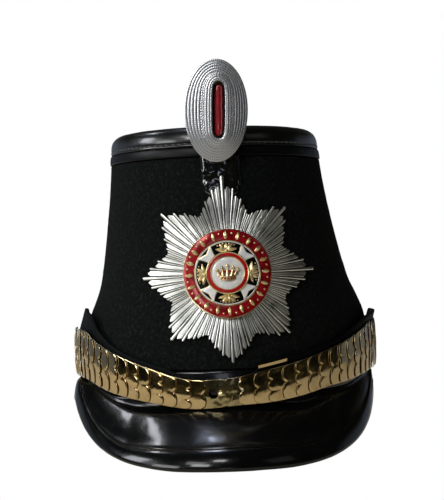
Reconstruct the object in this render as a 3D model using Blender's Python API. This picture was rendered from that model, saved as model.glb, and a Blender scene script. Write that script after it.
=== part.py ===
"""Felt parade shako with two peaks, a rayed star plate, an oval wire cockade and brass chin scales.

Sizes below are millimetres, turned to metres where vertices are made.  +Z is up and the front faces -Y.
The hat stands on its two peaks on z = 0.  Places on the hat are written from the axis of the crown,
which lies CROWN_AXIS_Y behind the middle of the whole hat.
"""
import math

import bmesh
import bpy
from mathutils import Vector

MM = 0.001
GAP = 0.3

# Crown: a felt wall, oval in plan, wide at the brow and leaning a little to its right side at the top.
CROWN_AXIS_Y = 11.0
CROWN_COLUMNS = ("height", "half_width", "front", "back", "lean")
CROWN_ROWS = (
    (36.0, 86.5, 105.0, 105.0, 0.0),
    (50.0, 86.5, 104.5, 104.5, 0.0),
    (66.0, 86.0, 103.5, 103.5, 0.8),
    (78.0, 83.5, 101.5, 100.5, 1.3),
    (88.0, 79.5, 99.0, 96.0, 1.2),
    (98.0, 75.5, 97.0, 91.5, 0.6),
    (140.0, 67.2, 91.0, 78.0, -1.6),
    (160.0, 64.3, 88.5, 71.5, -2.4),
    (178.0, 62.6, 86.5, 67.5, -3.0),
    (188.0, 61.8, 85.5, 66.0, -3.3),
)
TURN_STEPS = 36
FELT_WALL = 3.0

# Leather top, turned down over the felt, and the band stitched on below it.
BROW = 36.0
FELT_TOP = 183.7
LID_TOP = 187.3
LID_RIM = 175.6
LID_LEATHER = 2.0
TOP_BAND = (169.9, 175.2)
TOP_BAND_PROUD = 0.5
BASE_BAND_TOP = 50.0
BASE_BAND_PROUD = 0.9
BASE_BAND_LEATHER = 2.0

# Peaks: the outline of each is an oval whose middle lies peak_centre from the crown's axis.
PEAK_LEATHER = 3.0
PEAK_FLANGE = 4.5
PEAK_SEAT = BROW - GAP
PEAK_FLAT = 0.3
PEAK_BELOW_STRAP = 1.0
FRONT_PEAK = dict(side=-1, centre=10.0, half_width=90.7, reach=140.0, edge_at=39.0, side_edge=31.0,
                  outline_end=84.0, brow_end=83.0, bead=11.0, bead_side=3.0, shift=-2.7, stations=25,
                  side_top=43.0)
REAR_PEAK = dict(side=1, centre=10.0, half_width=90.0, reach=118.0, edge_at=39.0, side_edge=31.0,
                 outline_end=78.0, brow_end=74.0, bead=7.0, bead_side=3.0, shift=0.0, stations=17,
                 side_top=PEAK_SEAT)

# Chin strap: two leather straps faced with brass scales, buttoned at the sides and joined in front.
STRAP_COLUMNS = ("along", "lower", "upper", "leather_upper", "flare")
STRAP_ROWS = (
    (-185.0, 44.5, 72.5, 83.0, -4.0),
    (-150.0, 44.5, 72.5, 83.0, -4.0),
    (-115.0, 43.6, 71.8, 80.5, -2.0),
    (-98.0, 41.0, 66.2, 72.0, 0.0),
    (-80.0, 37.4, 60.6, 63.2, 0.0),
    (-50.0, 33.0, 52.2, 54.4, 0.0),
    (-20.0, 29.4, 45.4, 48.6, 0.0),
    (0.0, 30.6, 46.4, 48.6, 0.0),
    (20.0, 31.8, 49.9, 54.4, 0.0),
    (40.0, 34.3, 53.8, 57.6, 0.0),
    (60.0, 37.9, 58.4, 61.0, 0.0),
    (80.0, 39.8, 63.1, 66.0, 0.0),
    (98.0, 41.8, 67.6, 71.5, 1.0),
    (115.0, 43.3, 71.5, 77.0, 2.0),
    (150.0, 44.5, 72.5, 79.0, 3.0),
    (185.0, 44.5, 72.5, 79.0, 3.0),
)
STRAP_HALF_WIDTH = 86.5 + BASE_BAND_PROUD
STRAP_HALF_DEPTH = 105.0 + BASE_BAND_PROUD
STRAP_LEATHER = (GAP, 1.9)
STRAP_END = 177.0
LEFT_LEATHER_START = 15.0
RIGHT_LEATHER_START = 3.0
SCALE_COUNT = 17
SCALE_PITCH = 8.27
SCALE_LAP = 3.5
SCALE_SHEET = 0.7
SCALE_SEAT = 2.25
SCALE_RISE = 0.145
SCALE_LOBE = 2.4
FIRST_SCALE = {"left": 15.6, "right": 11.1}

JOIN_ALONG = -6.6
JOIN_HEIGHT = 37.6
STUD_BALL = 1.95
STUD_NECK = 0.7
KEYHOLE = 2.6
KEYHOLE_FROM_STUD = 4.7
KEYHOLE_SLOT = 1.2
RIGHT_PLATE = dict(root=16.0, past_stud=3.4, blunt=0.98, rounded=6.0, out=2.25)
LEFT_PLATE = dict(root=-18.0, step=-12.0, tip=-0.3, blunt=0.98, rounded=6.5, root_out=2.45, out=3.3)
STUD_FOOT = 2.5
STUD_MIDDLE = 4.2
KEEPER_ENDS = ((14.0, 51.7), (31.2, 54.9))
KEEPER_BAR = dict(width=2.0, inner=2.2, outer=3.4)
SIDE_BUTTON = dict(along=168.0, height=58.0, radius=8.0, neck=2.2, steps=12)

# Star plate: eight points of seven rays each, bent to the front of the crown.
STAR_HEIGHT = 102.8
STAR_SHIFT = -1.1
STAR_TURN = 1.4
STAR_BEND = 72.0
STAR_POINTS = 8
RAY_TIPS = (38.0, 42.0, 46.5, 53.0, 46.5, 42.0, 38.0)
# How far each point reaches against the length of its rays above, from the top one clockwise.
POINT_REACH = (1.035, 0.955, 1.025, 0.925, 0.925, 0.93, 0.965, 0.965)
RAY_VALLEY = 0.965
STAR_HOLE = 20.0
STAR_BACK = 1.2
STAR_FRONT = dict(ridge_in=3.2, valley_in=2.75, ridge_out=2.7, valley_out=1.95)
STAR_LIFT = dict(begins=131.0, full=144.0, out=1.8)

# Medallion on the star; out is measured from the felt.
MEDALLION_STEPS = 26
MEDALLION_PROFILE = (
    (3.0, 3.8), (14.0, 3.8), (25.0, 3.8), (25.0, 5.0), (24.2, 5.5), (23.8, 4.6), (18.8, 4.7),
    (18.5, 5.8), (17.9, 5.8), (17.6, 4.9), (10.0, 4.9), (3.0, 4.9),
)
RED_RING = dict(inner=19.1, outer=23.5, back=4.95, front=5.35)
BLACK_FIELD = dict(inner=8.0, outer=17.3, back=5.2, front=5.5)
WHITE_CROSS = dict(hub=9.3, root=10.6, arm=16.9, notch=15.9, half_angle=17.2, root_angle=17.6,
                   back=5.9, front=6.25)
LEAF_RING = dict(inner=11.5, outer=12.1, back=6.65, front=7.2)
LEAF_TIPS = ((-16.0, 12.1), (-12.5, 14.7), (-6.5, 13.6), (0.0, 16.8), (6.5, 13.6), (12.5, 14.7), (16.0, 12.1))
RED_BAND = dict(inner=9.6, outer=11.2, back=6.65, front=7.1)
CORONET = dict(back=6.65, front=7.5, half_base=4.6, base=-4.2, band_top=-1.6)
CORONET_TIPS = ((-5.9, 2.6), (-3.2, 3.4), (0.0, 4.8), (3.2, 3.4), (5.9, 2.6))

# Cockade: an oval of coiled wire round a slot, on a plate whose tang slides into a leather pocket.
COCKADE_X = -4.0
COCKADE_HEIGHT = 194.9
COCKADE_TURN = 2.0
COCKADE_HALF = (17.8, 28.7)
SLOT_HALF = (3.9, 15.8)
SLOT_SHIFT = 1.5
COCKADE_RIDGES = 8
COCKADE_STEPS = 26
COCKADE_DEPTHS = dict(plate_back=91.8, plate_front=92.8, wire_back=93.1, slot_edge=95.8,
                      crest=96.8, rim=94.4, ridge=0.55)
COCKADE_PLATE_INSET = 1.3
BAR_HALF = (1.9, 13.6)
BAR_DEPTHS = (93.1, 94.9)
BAR_STEPS = 12
TANG = dict(half_width=5.0, inner=0.9)
TANG_ROWS = (  # height, outer face
    (162.0, 1.9), (163.0, 1.9), (171.0, 1.9), (177.5, 5.6), (189.0, 5.6))
POCKET_COLUMNS = ("height", "half_width", "face", "inside")
POCKET_ROWS = (
    (146.0, 4.6, 1.5, 0.55),
    (147.8, 7.6, 1.8, 0.55),
    (150.0, 9.4, 1.8, 0.55),
    (157.6, 10.9, 1.9, 0.55),
    (161.6, 11.1, 3.3, 2.2),
    (169.3, 11.2, 3.3, 2.2),
)
POCKET_SHOULDER = 0.4
POCKET_EDGE = 1.2
POCKET_SEAT = 0.55


def clear_scene():
    for item in list(bpy.data.objects):
        bpy.data.objects.remove(item, do_unlink=True)


def finish(name, colour, roughness, metallic=0.0):
    """A material for one kind of stuff, made once and shared by its pieces."""
    material = bpy.data.materials.get(name) or bpy.data.materials.new(name)
    material.use_nodes = True
    shader = material.node_tree.nodes["Principled BSDF"]
    shader.inputs["Base Color"].default_value = (*colour, 1.0)
    shader.inputs["Roughness"].default_value = roughness
    shader.inputs["Metallic"].default_value = metallic
    return material


def felt():
    return finish("black_felt", (0.012, 0.012, 0.013), 0.95)


def leather():
    return finish("polished_leather", (0.006, 0.006, 0.007), 0.22)


def brass():
    return finish("brass", (0.72, 0.5, 0.2), 0.22, 1.0)


def gilt():
    return finish("gilt", (0.85, 0.6, 0.22), 0.25, 1.0)


def silver():
    return finish("nickel_silver", (0.66, 0.65, 0.62), 0.3, 1.0)


def enamel(name, colour):
    return finish(name, colour, 0.12)


def place(x, y, z):
    return Vector((x, y + CROWN_AXIS_Y, z)) * MM


def row_value(rows, columns, column, at):
    """Reads one column of a table at a value of its first column, on a smooth curve through the rows."""
    index = columns.index(column)
    last = len(rows) - 1
    if at <= rows[0][0]:
        return rows[0][index]
    if at >= rows[last][0]:
        return rows[last][index]
    k = max(i for i in range(last) if rows[i][0] <= at)
    x0, x1 = rows[k][0], rows[k + 1][0]
    y0, y1 = rows[k][index], rows[k + 1][index]
    span = x1 - x0
    slope = (y1 - y0) / span

    def tangent(i):
        if i == 0 or i == last:
            return slope
        before = (rows[i][index] - rows[i - 1][index]) / (rows[i][0] - rows[i - 1][0])
        after = (rows[i + 1][index] - rows[i][index]) / (rows[i + 1][0] - rows[i][0])
        if before * after <= 0.0:
            return 0.0
        return 2.0 * before * after / (before + after)

    t = (at - x0) / span
    start = tangent(k) * span
    end = tangent(k + 1) * span
    return (y0 * (1 + 2 * t) * (1 - t) ** 2 + start * t * (1 - t) ** 2
            + y1 * t * t * (3 - 2 * t) + end * t * t * (t - 1))


def crown_section(height):
    """Half width, middle, half depth and sideways lean of the crown at a height."""
    half_width = row_value(CROWN_ROWS, CROWN_COLUMNS, "half_width", height)
    front = row_value(CROWN_ROWS, CROWN_COLUMNS, "front", height)
    back = row_value(CROWN_ROWS, CROWN_COLUMNS, "back", height)
    lean = row_value(CROWN_ROWS, CROWN_COLUMNS, "lean", height)
    return half_width, (back - front) / 2, (back + front) / 2, lean


def crown_xy(turn, height, out):
    """A point out from the crown's face; turn is 0 at the front and grows towards +X."""
    half_width, middle, half_depth, lean = crown_section(height)
    return lean + (half_width + out) * math.sin(turn), middle - (half_depth + out) * math.cos(turn)


def crown_ring(height, out, shrink=1.0, level=None):
    """One closed ring round the crown, drawn in towards the middle where shrink is under 1."""
    _, middle, _, lean = crown_section(height)
    ring = []
    for step in range(TURN_STEPS):
        x, y = crown_xy(2 * math.pi * step / TURN_STEPS, height, out)
        x = lean + (x - lean) * shrink
        y = middle + (y - middle) * shrink
        ring.append(place(x, y, height if level is None else level))
    return ring


def on_front(across, height, out, shift):
    """A point over the front of the crown, across measured round the bend from a line at x = shift."""
    def face(a, h):
        half_width, middle, half_depth, lean = crown_section(h)
        x = STAR_BEND * math.sin(a / STAR_BEND) + shift
        y = middle - half_depth * math.sqrt(1.0 - ((x - lean) / half_width) ** 2)
        return Vector((x, y, h))

    point = face(across, height)
    sideways = face(across + 0.5, height) - face(across - 0.5, height)
    upwards = face(across, height + 0.5) - face(across, height - 0.5)
    return place(*(point + sideways.cross(upwards).normalized() * out))


def skin(name, rings, material, ends="join"):
    """A closed body of faces between rings; its ends are joined to each other or capped."""
    mesh = bpy.data.meshes.new(name)
    bm = bmesh.new()
    loops = [[bm.verts.new(point) for point in ring] for ring in rings]
    pairs = list(zip(loops, loops[1:]))
    if ends == "join":
        pairs.append((loops[-1], loops[0]))
    for one, two in pairs:
        for k in range(len(one)):
            after = (k + 1) % len(one)
            bm.faces.new((one[k], one[after], two[after], two[k]))
    if ends == "cap":
        bm.faces.new(loops[0])
        bm.faces.new(loops[-1])
    bmesh.ops.recalc_face_normals(bm, faces=bm.faces)
    bm.to_mesh(mesh)
    bm.free()
    mesh.materials.append(material)
    mesh.shade_smooth()
    mesh.set_sharp_from_angle(angle=math.radians(40))
    item = bpy.data.objects.new(name, mesh)
    bpy.context.collection.objects.link(item)
    return item


def unite(body, other, operation="UNION"):
    """Joins another body to this one, or cuts it away, and removes the other."""
    modifier = body.modifiers.new("join", "BOOLEAN")
    modifier.operation = operation
    modifier.solver = "EXACT"
    modifier.object = other
    bpy.context.view_layer.update()
    depsgraph = bpy.context.evaluated_depsgraph_get()
    mesh = bpy.data.meshes.new_from_object(body.evaluated_get(depsgraph))
    body.modifiers.clear()
    body.data = mesh
    bpy.data.objects.remove(other, do_unlink=True)


def crown():
    inset = BASE_BAND_LEATHER - BASE_BAND_PROUD + GAP
    tucked = LID_LEATHER + GAP
    outer = ((BROW, -inset), (BASE_BAND_TOP + 0.2, -inset), (BASE_BAND_TOP + 1.0, 0.0), (66.0, 0.0),
             (78.0, 0.0), (88.0, 0.0), (98.0, 0.0), (118.0, 0.0), (140.0, 0.0), (TOP_BAND[0] - 0.7, 0.0),
             (TOP_BAND[0] - 0.3, -tucked), (FELT_TOP, -tucked))
    inner = ((FELT_TOP, -tucked - FELT_WALL), (98.0, -FELT_WALL), (78.0, -FELT_WALL),
             (BASE_BAND_TOP, -inset - FELT_WALL), (BROW, -inset - FELT_WALL))
    skin("felt_crown", [crown_ring(height, out) for height, out in outer + inner], felt())


def leather_top():
    rings = [
        crown_ring(LID_TOP, -6.0, 0.3, LID_TOP - 1.6),
        crown_ring(LID_TOP, -6.0, 0.9, LID_TOP - 1.0),
        crown_ring(LID_TOP, -6.0),
        crown_ring(LID_TOP - 1.1, -2.7),
        crown_ring(LID_TOP - 3.6, -0.8),
        crown_ring(LID_TOP - 7.5, 0.0),
        crown_ring(LID_RIM, 0.0),
        crown_ring(LID_RIM, -LID_LEATHER),
        crown_ring(FELT_TOP + 0.4, -LID_LEATHER),
        crown_ring(LID_TOP, -6.0, 0.3, LID_TOP - 3.5),
    ]
    skin("leather_top", rings, leather(), "cap")


def band(name, low, high, inner, outer):
    profile = ((low, inner), (low, outer), (high, outer), (high, inner))
    skin(name, [crown_ring(height, out) for height, out in profile], leather())


def strap_turns():
    """Angle round the hat for each millimetre along the strap from the middle of the front."""
    steps = 2000
    lengths, angles = [0.0], [0.0]
    for step in range(1, steps + 1):
        angle = math.pi * 0.7 * step / steps
        mid = angle - math.pi * 0.35 / steps
        piece = math.hypot((STRAP_HALF_WIDTH + 3.0) * math.cos(mid), (STRAP_HALF_DEPTH + 3.0) * math.sin(mid))
        lengths.append(lengths[-1] + piece * math.pi * 0.7 / steps)
        angles.append(angle)
    return lengths, angles


STRAP_LENGTHS, STRAP_ANGLES = strap_turns()


def strap_angle(along):
    distance = abs(along)
    low, high = 0, len(STRAP_LENGTHS) - 1
    while high - low > 1:
        middle = (low + high) // 2
        if STRAP_LENGTHS[middle] <= distance:
            low = middle
        else:
            high = middle
    share = (distance - STRAP_LENGTHS[low]) / (STRAP_LENGTHS[high] - STRAP_LENGTHS[low])
    angle = STRAP_ANGLES[low] + (STRAP_ANGLES[high] - STRAP_ANGLES[low]) * share
    return math.copysign(angle, along)


def strap_along(angle):
    """Distance along the strap at an angle round the hat."""
    low = max(k for k in range(len(STRAP_ANGLES) - 1) if STRAP_ANGLES[k] <= angle)
    share = (angle - STRAP_ANGLES[low]) / (STRAP_ANGLES[low + 1] - STRAP_ANGLES[low])
    return STRAP_LENGTHS[low] + (STRAP_LENGTHS[low + 1] - STRAP_LENGTHS[low]) * share


def strap_value(column, along):
    return row_value(STRAP_ROWS, STRAP_COLUMNS, column, along)


def peak_section(reach, edge, bead, rise):
    """Outline of a peak's leather: distance out from the brow, and height.

    Where rise is over 0 the leather stands up outside the base band, below the chin strap.
    """
    crest = edge + bead
    slope = (PEAK_SEAT - crest) / (PEAK_SEAT - 11.0)
    turn_up = PEAK_SEAT - 5.7 * slope
    clear = min(1.0, rise / 2.0)

    def raised(share):
        return rise * (1.0 - share ** 4)

    upper = (
        (-PEAK_FLANGE, PEAK_SEAT),
        (-1.5, PEAK_SEAT),
        (0.9 * clear, turn_up),
        (max(0.06 * reach, 1.25 * clear), PEAK_SEAT - 6.6 * slope + rise),
        (max(0.18 * reach, 2.2 * clear), PEAK_SEAT - 8.9 * slope + raised(0.18)),
        (0.38 * reach, PEAK_SEAT - 14.1 * slope + raised(0.38)),
        (0.75 * reach, crest + raised(0.75)),
        (0.80 * reach, crest - 0.04 * bead + raised(0.8)),
        (0.92 * reach, edge + 0.67 * bead + raised(0.92)),
        (0.99 * reach, edge + 0.3 * bead + raised(0.99)),
        (reach, edge),
    )
    under = (
        (reach - PEAK_LEATHER, edge),
        (0.75 * reach - 2.0, crest - 2.6 + 0.5 * raised(0.75)),
        (0.38 * reach - 1.5, PEAK_SEAT - 14.1 * slope - 2.6),
        (0.18 * reach - 2.2, PEAK_SEAT - 8.9 * slope - 2.4),
        (-2.6, turn_up - 1.9),
        (-PEAK_FLANGE, PEAK_SEAT - 2.7),
    )
    return upper + under


def peak(name, side, centre, half_width, reach, edge_at, side_edge, outline_end, brow_end,
         bead, bead_side, shift, stations, side_top):
    """A moulded leather peak; side is -1 at the front of the hat and +1 at the back."""
    tip = side * (centre + reach) if side < 0 else centre + reach
    rings = []
    for station in range(stations):
        share = 2.0 * station / (stations - 1) - 1.0
        outline = math.radians(outline_end * share)
        brow = math.radians(brow_end * share)
        half, middle, depth, _ = crown_section(BROW)
        start = Vector(((half + BASE_BAND_PROUD) * math.sin(brow),
                        middle + side * (depth + BASE_BAND_PROUD) * math.cos(brow)))
        end = Vector((shift + half_width * math.sin(outline), side * (centre + reach * math.cos(outline))))
        climb = min(1.0, (abs(tip) - abs(end.y)) / (abs(tip) - edge_at)) if side * end.y > 0 else 1.0
        edge = max(0.0, side_edge * climb ** 1.9 - PEAK_FLAT)
        bead_here = bead_side + (bead - bead_side) * math.cos(outline) ** 1.5
        along = math.copysign(strap_along(abs(brow)), start.x)
        rise = max(0.0, min(side_top, strap_value("lower", along) - PEAK_BELOW_STRAP) - PEAK_SEAT)
        away = (end - start).normalized()
        section = peak_section((end - start).length, edge, bead_here, rise)
        rings.append([place(start.x + away.x * out, start.y + away.y * out, z) for out, z in section])
    skin(name, rings, leather(), "cap")


def strap_point(along, height, out):
    angle = strap_angle(along)
    return place((STRAP_HALF_WIDTH + out) * math.sin(angle), -(STRAP_HALF_DEPTH + out) * math.cos(angle), height)


def strap_leather(name, side, start):
    inner, outer = STRAP_LEATHER
    count = 20
    rings = []
    for station in range(count):
        along = side * (start + (STRAP_END - start) * station / (count - 1))
        low = strap_value("lower", along) + 1.2
        middle = strap_value("upper", along) - 1.0
        high = strap_value("leather_upper", along)
        flare = strap_value("flare", along)
        if station == count - 1:
            low, high = low + 4.0, high - 12.0
            middle = high - 2.0
        rings.append([
            strap_point(along, low, inner), strap_point(along, low, outer),
            strap_point(along, middle, outer), strap_point(along, high, outer + flare),
            strap_point(along, high, inner + flare), strap_point(along, middle, inner),
        ])
    skin(name, rings, leather(), "cap")


def scale_plate(name, side, first, number):
    """One scale; its lobed free edge points to the middle of the strap and lies on the next scale."""
    lobes = 2 if number % 2 == 0 else 3
    columns = 3 * lobes
    free = first + number * SCALE_PITCH
    root = free + SCALE_PITCH + SCALE_LAP
    rings = []
    for column in range(columns + 1):
        share = column / columns
        in_lobe = 2.0 * (share * lobes - min(lobes - 1, int(share * lobes + 1e-6))) - 1.0
        edge = free + SCALE_LOBE * (1.0 - math.sqrt(max(0.0, 1.0 - in_lobe ** 2)))
        ring = []
        for distance, face in ((edge, 1), (root, 1), (root, 0), (edge, 0)):
            along = side * distance
            low, high = strap_value("lower", along), strap_value("upper", along)
            out = SCALE_SEAT + SCALE_RISE * (root - distance) + face * SCALE_SHEET
            ring.append(strap_point(along, low + (high - low) * share, out))
        rings.append(ring)
    skin(name, rings, brass(), "cap")


def plate_outline(start, end, blunt, rounded):
    """Edge of an end plate as distance along and share of the height, with one rounded end."""
    points = [(start, -blunt), (start, blunt)]
    reach = end - start
    for step in range(9):
        angle = math.pi / 2 - math.pi * step / 8
        points.append((end - rounded * (1 if reach > 0 else -1) * (1 - math.cos(angle)), math.sin(angle)))
    return points


def end_plate(name, outline, seats):
    """A plain brass plate along the strap; seats gives its height over the hat at places along it."""
    along_values = [along for along, _ in outline]
    start, end = min(along_values), max(along_values)
    knots = [along for along, _ in seats] + [start + (end - start) * step / 5 for step in range(6)]

    def out_at(along):
        for (a0, o0), (a1, o1) in zip(seats, seats[1:]):
            if along <= a1:
                return o0 + (o1 - o0) * max(0.0, (along - a0) / (a1 - a0))
        return seats[-1][1]

    def half_at(along):
        halves = []
        for (a0, h0), (a1, h1) in zip(outline, outline[1:] + outline[:1]):
            if min(a0, a1) - 1e-9 <= along <= max(a0, a1) + 1e-9 and h0 + h1 >= 0:
                share = 0.0 if a1 == a0 else (along - a0) / (a1 - a0)
                halves.append(h0 + (h1 - h0) * share)
        return max(halves)

    places = sorted(set([round(a, 4) for a in along_values] + [round(a, 4) for a in knots]))
    rings = []
    for along in places:
        half = max(0.03, half_at(along))
        low, high = strap_value("lower", along), strap_value("upper", along)
        middle, reach = (low + high) / 2, (high - low) / 2 * half
        out = out_at(along)
        rings.append([
            strap_point(along, middle - reach, out), strap_point(along, middle + reach, out),
            strap_point(along, middle + reach, out + SCALE_SHEET), strap_point(along, middle - reach, out + SCALE_SHEET),
        ])
    return skin(name, rings, brass(), "cap")


def turned(name, profile, steps, base, axis, material):
    """A turned piece: profile gives radius and distance along the axis from base."""
    side = axis.orthogonal().normalized()
    other = axis.cross(side)
    rings = []
    for radius, along in profile:
        rings.append([
            base + axis * along * MM
            + (side * math.cos(2 * math.pi * k / steps) + other * math.sin(2 * math.pi * k / steps)) * radius * MM
            for k in range(steps)
        ])
    return skin(name, rings, material, "cap")


def front_fastening():
    """The two plates that meet in front: a ball stud on the right one sits in a keyhole of the left."""
    spec = RIGHT_PLATE
    tip = JOIN_ALONG - spec["past_stud"]
    outline = plate_outline(spec["root"], tip, spec["blunt"], spec["rounded"])
    right_plate = end_plate("end_plate_right", outline, ((tip, spec["out"]), (spec["root"], spec["out"])))
    spec = LEFT_PLATE
    outline = plate_outline(spec["root"], spec["tip"], spec["blunt"], spec["rounded"])
    seats = ((spec["root"], spec["root_out"]), (spec["step"], spec["out"]), (spec["tip"], spec["out"]))
    left_plate = end_plate("end_plate_left", outline, seats)

    outward = Vector((0.0, -1.0, 0.0))
    foot = strap_point(JOIN_ALONG, JOIN_HEIGHT, STUD_FOOT)
    stud_x = strap_point(JOIN_ALONG, JOIN_HEIGHT, 0.0).x
    profile = [(STUD_NECK, 0.0)]
    for step in range(1, 8):
        angle = math.pi * step / 8
        profile.append((STUD_BALL * math.sin(angle), STUD_MIDDLE - STUD_BALL * math.cos(angle)))
    unite(right_plate, turned("stud", profile, 12, foot, outward, brass()))

    behind = foot - outward * 2.0 * MM
    hole_x = stud_x - KEYHOLE_FROM_STUD * MM
    hole = turned("keyhole", ((KEYHOLE, 0.0), (KEYHOLE, 8.0)), 16,
                  Vector((hole_x, behind.y, behind.z)), outward, brass())
    unite(left_plate, hole, "DIFFERENCE")
    slot = turned("slot_end", ((KEYHOLE_SLOT, 0.0), (KEYHOLE_SLOT, 8.0)), 12,
                  Vector((stud_x, behind.y, behind.z)), outward, brass())
    for vertex in slot.data.vertices:
        if vertex.co.x < stud_x - 0.1 * MM:
            vertex.co.x = hole_x
    unite(left_plate, slot, "DIFFERENCE")


def keeper():
    width, inner, outer = KEEPER_BAR["width"], KEEPER_BAR["inner"], KEEPER_BAR["outer"]
    (start, low), (end, high) = KEEPER_ENDS
    rings = []
    for step in range(5):
        share = step / 4
        along, height = start + (end - start) * share, low + (high - low) * share
        rings.append([
            strap_point(along, height - width / 2, inner), strap_point(along, height - width / 2, outer),
            strap_point(along, height + width / 2, outer), strap_point(along, height + width / 2, inner),
        ])
    skin("keeper_bar", rings, brass(), "cap")


def side_button(name, side):
    spec = SIDE_BUTTON
    base = strap_point(side * spec["along"], spec["height"], 0.0)
    tip = strap_point(side * spec["along"], spec["height"], 1.0)
    radius = spec["radius"]
    profile = ((spec["neck"], 2.2), (spec["neck"], 3.5), (radius, 3.5), (radius, 4.2),
               (radius * 0.8, 5.2), (radius * 0.4, 5.9))
    turned(name, profile, spec["steps"], base, (tip - base).normalized(), brass())


def chin_strap():
    strap_leather("strap_leather_left", -1, LEFT_LEATHER_START)
    strap_leather("strap_leather_right", 1, RIGHT_LEATHER_START)
    for word, side in (("left", -1), ("right", 1)):
        for number in range(SCALE_COUNT):
            scale_plate(f"scale_{word}_{number + 1:02d}", side, FIRST_SCALE[word], number)
        side_button(f"side_button_{word}", side)
    front_fastening()
    keeper()


def star_point(angle, radius, out):
    """A place on the star; its top ray stands off the felt, over the foot of the cockade's pocket."""
    turned_angle = angle - math.radians(STAR_TURN)
    lean = crown_section(STAR_HEIGHT)[3]
    height = STAR_HEIGHT + radius * math.cos(turned_angle)
    climb = (height - STAR_LIFT["begins"]) / (STAR_LIFT["full"] - STAR_LIFT["begins"])
    lift = STAR_LIFT["out"] * max(0.0, min(1.0, climb))
    bent = STAR_BEND / (STAR_BEND + out)
    return on_front(radius * math.sin(turned_angle) * bent, height, out + lift, lean + STAR_SHIFT)


def ray_tip(point, ray):
    """Rays near a point's middle take the most of its own reach."""
    tip = RAY_TIPS[ray]
    share = (tip - RAY_TIPS[0]) / (max(RAY_TIPS) - RAY_TIPS[0])
    return tip * (1.0 + (POINT_REACH[point] - 1.0) * share)


def star_plate():
    """Ridge and valley of each ray in turn, round eight points."""
    edge = []
    rays = len(RAY_TIPS)
    width = 2 * math.pi / STAR_POINTS / rays
    for point in range(STAR_POINTS):
        for ray in range(rays):
            angle = 2 * math.pi * point / STAR_POINTS + (ray - (rays - 1) / 2) * width
            tip = ray_tip(point, ray)
            following = ray_tip(point, ray + 1) if ray < rays - 1 else ray_tip((point + 1) % STAR_POINTS, 0)
            edge.append((angle, tip, True))
            edge.append((angle + width / 2, min(tip, following) * RAY_VALLEY, False))
    levels = STAR_FRONT
    rings = []
    for share in (0.0, 0.33, 0.67, 1.0):
        ring = []
        for angle, tip, ridge in edge:
            kind = "ridge" if ridge else "valley"
            out = levels[kind + "_in"] + (levels[kind + "_out"] - levels[kind + "_in"]) * share
            ring.append(star_point(angle, STAR_HOLE + (tip - STAR_HOLE) * share, out))
        rings.append(ring)
    for share in (1.0, 0.5, 0.0):
        rings.append([star_point(angle, STAR_HOLE + (tip - STAR_HOLE) * share, STAR_BACK)
                      for angle, tip, _ in edge])
    skin("star_plate", rings, silver())


def circle_angles(steps):
    return [2 * math.pi * step / steps for step in range(steps)]


def annulus(name, inner, outer, back, front, material):
    profile = ((inner, back), (outer, back), (outer, front), (inner, front))
    rings = [[star_point(angle, radius, out) for angle in circle_angles(MEDALLION_STEPS)]
             for radius, out in profile]
    skin(name, rings, material)


def outlined(name, outline, inner, back, front, material, ends):
    """A flat piece whose edge is a list of angle and radius; a wide one has a ring half way out."""
    steps = ((0.0, back), (1.0, back), (1.0, front), (0.0, front))
    if ends == "cap":
        steps = steps[:1] + ((0.5, back),) + steps[1:3] + ((0.5, front),) + steps[3:]
    rings = [[star_point(angle, inner + (radius - inner) * share, out) for angle, radius in outline]
             for share, out in steps]
    skin(name, rings, material, ends)


def medallion():
    rings = [[star_point(angle, radius, out) for angle in circle_angles(MEDALLION_STEPS)]
             for radius, out in MEDALLION_PROFILE]
    skin("medallion_base", rings, gilt(), "cap")
    annulus("enamel_ring_red", **RED_RING, material=enamel("red_enamel", (0.42, 0.012, 0.02)))
    annulus("enamel_field_black", **BLACK_FIELD, material=enamel("black_enamel", (0.008, 0.008, 0.01)))
    annulus("enamel_band_red", **RED_BAND, material=enamel("red_enamel", (0.42, 0.012, 0.02)))

    cross = WHITE_CROSS
    outline = []
    for arm in range(4):
        middle = math.pi / 4 + arm * math.pi / 2
        wide, narrow = math.radians(cross["half_angle"]), math.radians(cross["root_angle"])
        outline += [
            (middle - narrow, cross["root"]), (middle - wide, cross["arm"]), (middle, cross["notch"]),
            (middle + wide, cross["arm"]), (middle + narrow, cross["root"]),
        ]
        for part in (1, 2):
            outline.append((middle + narrow + (math.pi / 2 - 2 * narrow) * part / 3, cross["hub"]))
    outlined("enamel_cross_white", outline, 2.0, cross["back"], cross["front"],
             enamel("white_enamel", (0.8, 0.78, 0.74)), "cap")

    leaf = LEAF_RING
    outline = []
    for quarter in range(4):
        middle = quarter * math.pi / 2
        outline += [(middle + math.radians(offset), tip) for offset, tip in LEAF_TIPS]
        for part in (1, 2):
            outline.append((middle + math.radians(16.0 + 58.0 * part / 3), leaf["outer"]))
    outlined("leaf_ring", outline, leaf["inner"], leaf["back"], leaf["front"], gilt(), "join")


def coronet():
    """An open five-pointed coronet of plain shape."""
    spec = CORONET
    outline = [(-spec["half_base"], spec["base"]), (spec["half_base"], spec["base"]),
               (spec["half_base"], spec["band_top"])]
    tips = CORONET_TIPS[::-1]
    for index, (across, height) in enumerate(tips):
        outline += [(across + 0.6, height - 0.5), (across, height + 0.4), (across - 0.6, height - 0.5)]
        if index < len(tips) - 1:
            outline.append(((across + tips[index + 1][0]) / 2, spec["band_top"] + 0.9))
    outline.append((-spec["half_base"], spec["band_top"]))
    turn = math.radians(STAR_TURN)
    lean = crown_section(STAR_HEIGHT)[3]
    rings = []
    for out in (spec["back"], spec["front"]):
        rings.append([
            on_front(u * math.cos(turn) - v * math.sin(turn), STAR_HEIGHT + v * math.cos(turn) + u * math.sin(turn),
                     out, lean + STAR_SHIFT)
            for u, v in outline
        ])
    skin("coronet", rings, gilt(), "cap")


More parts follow.
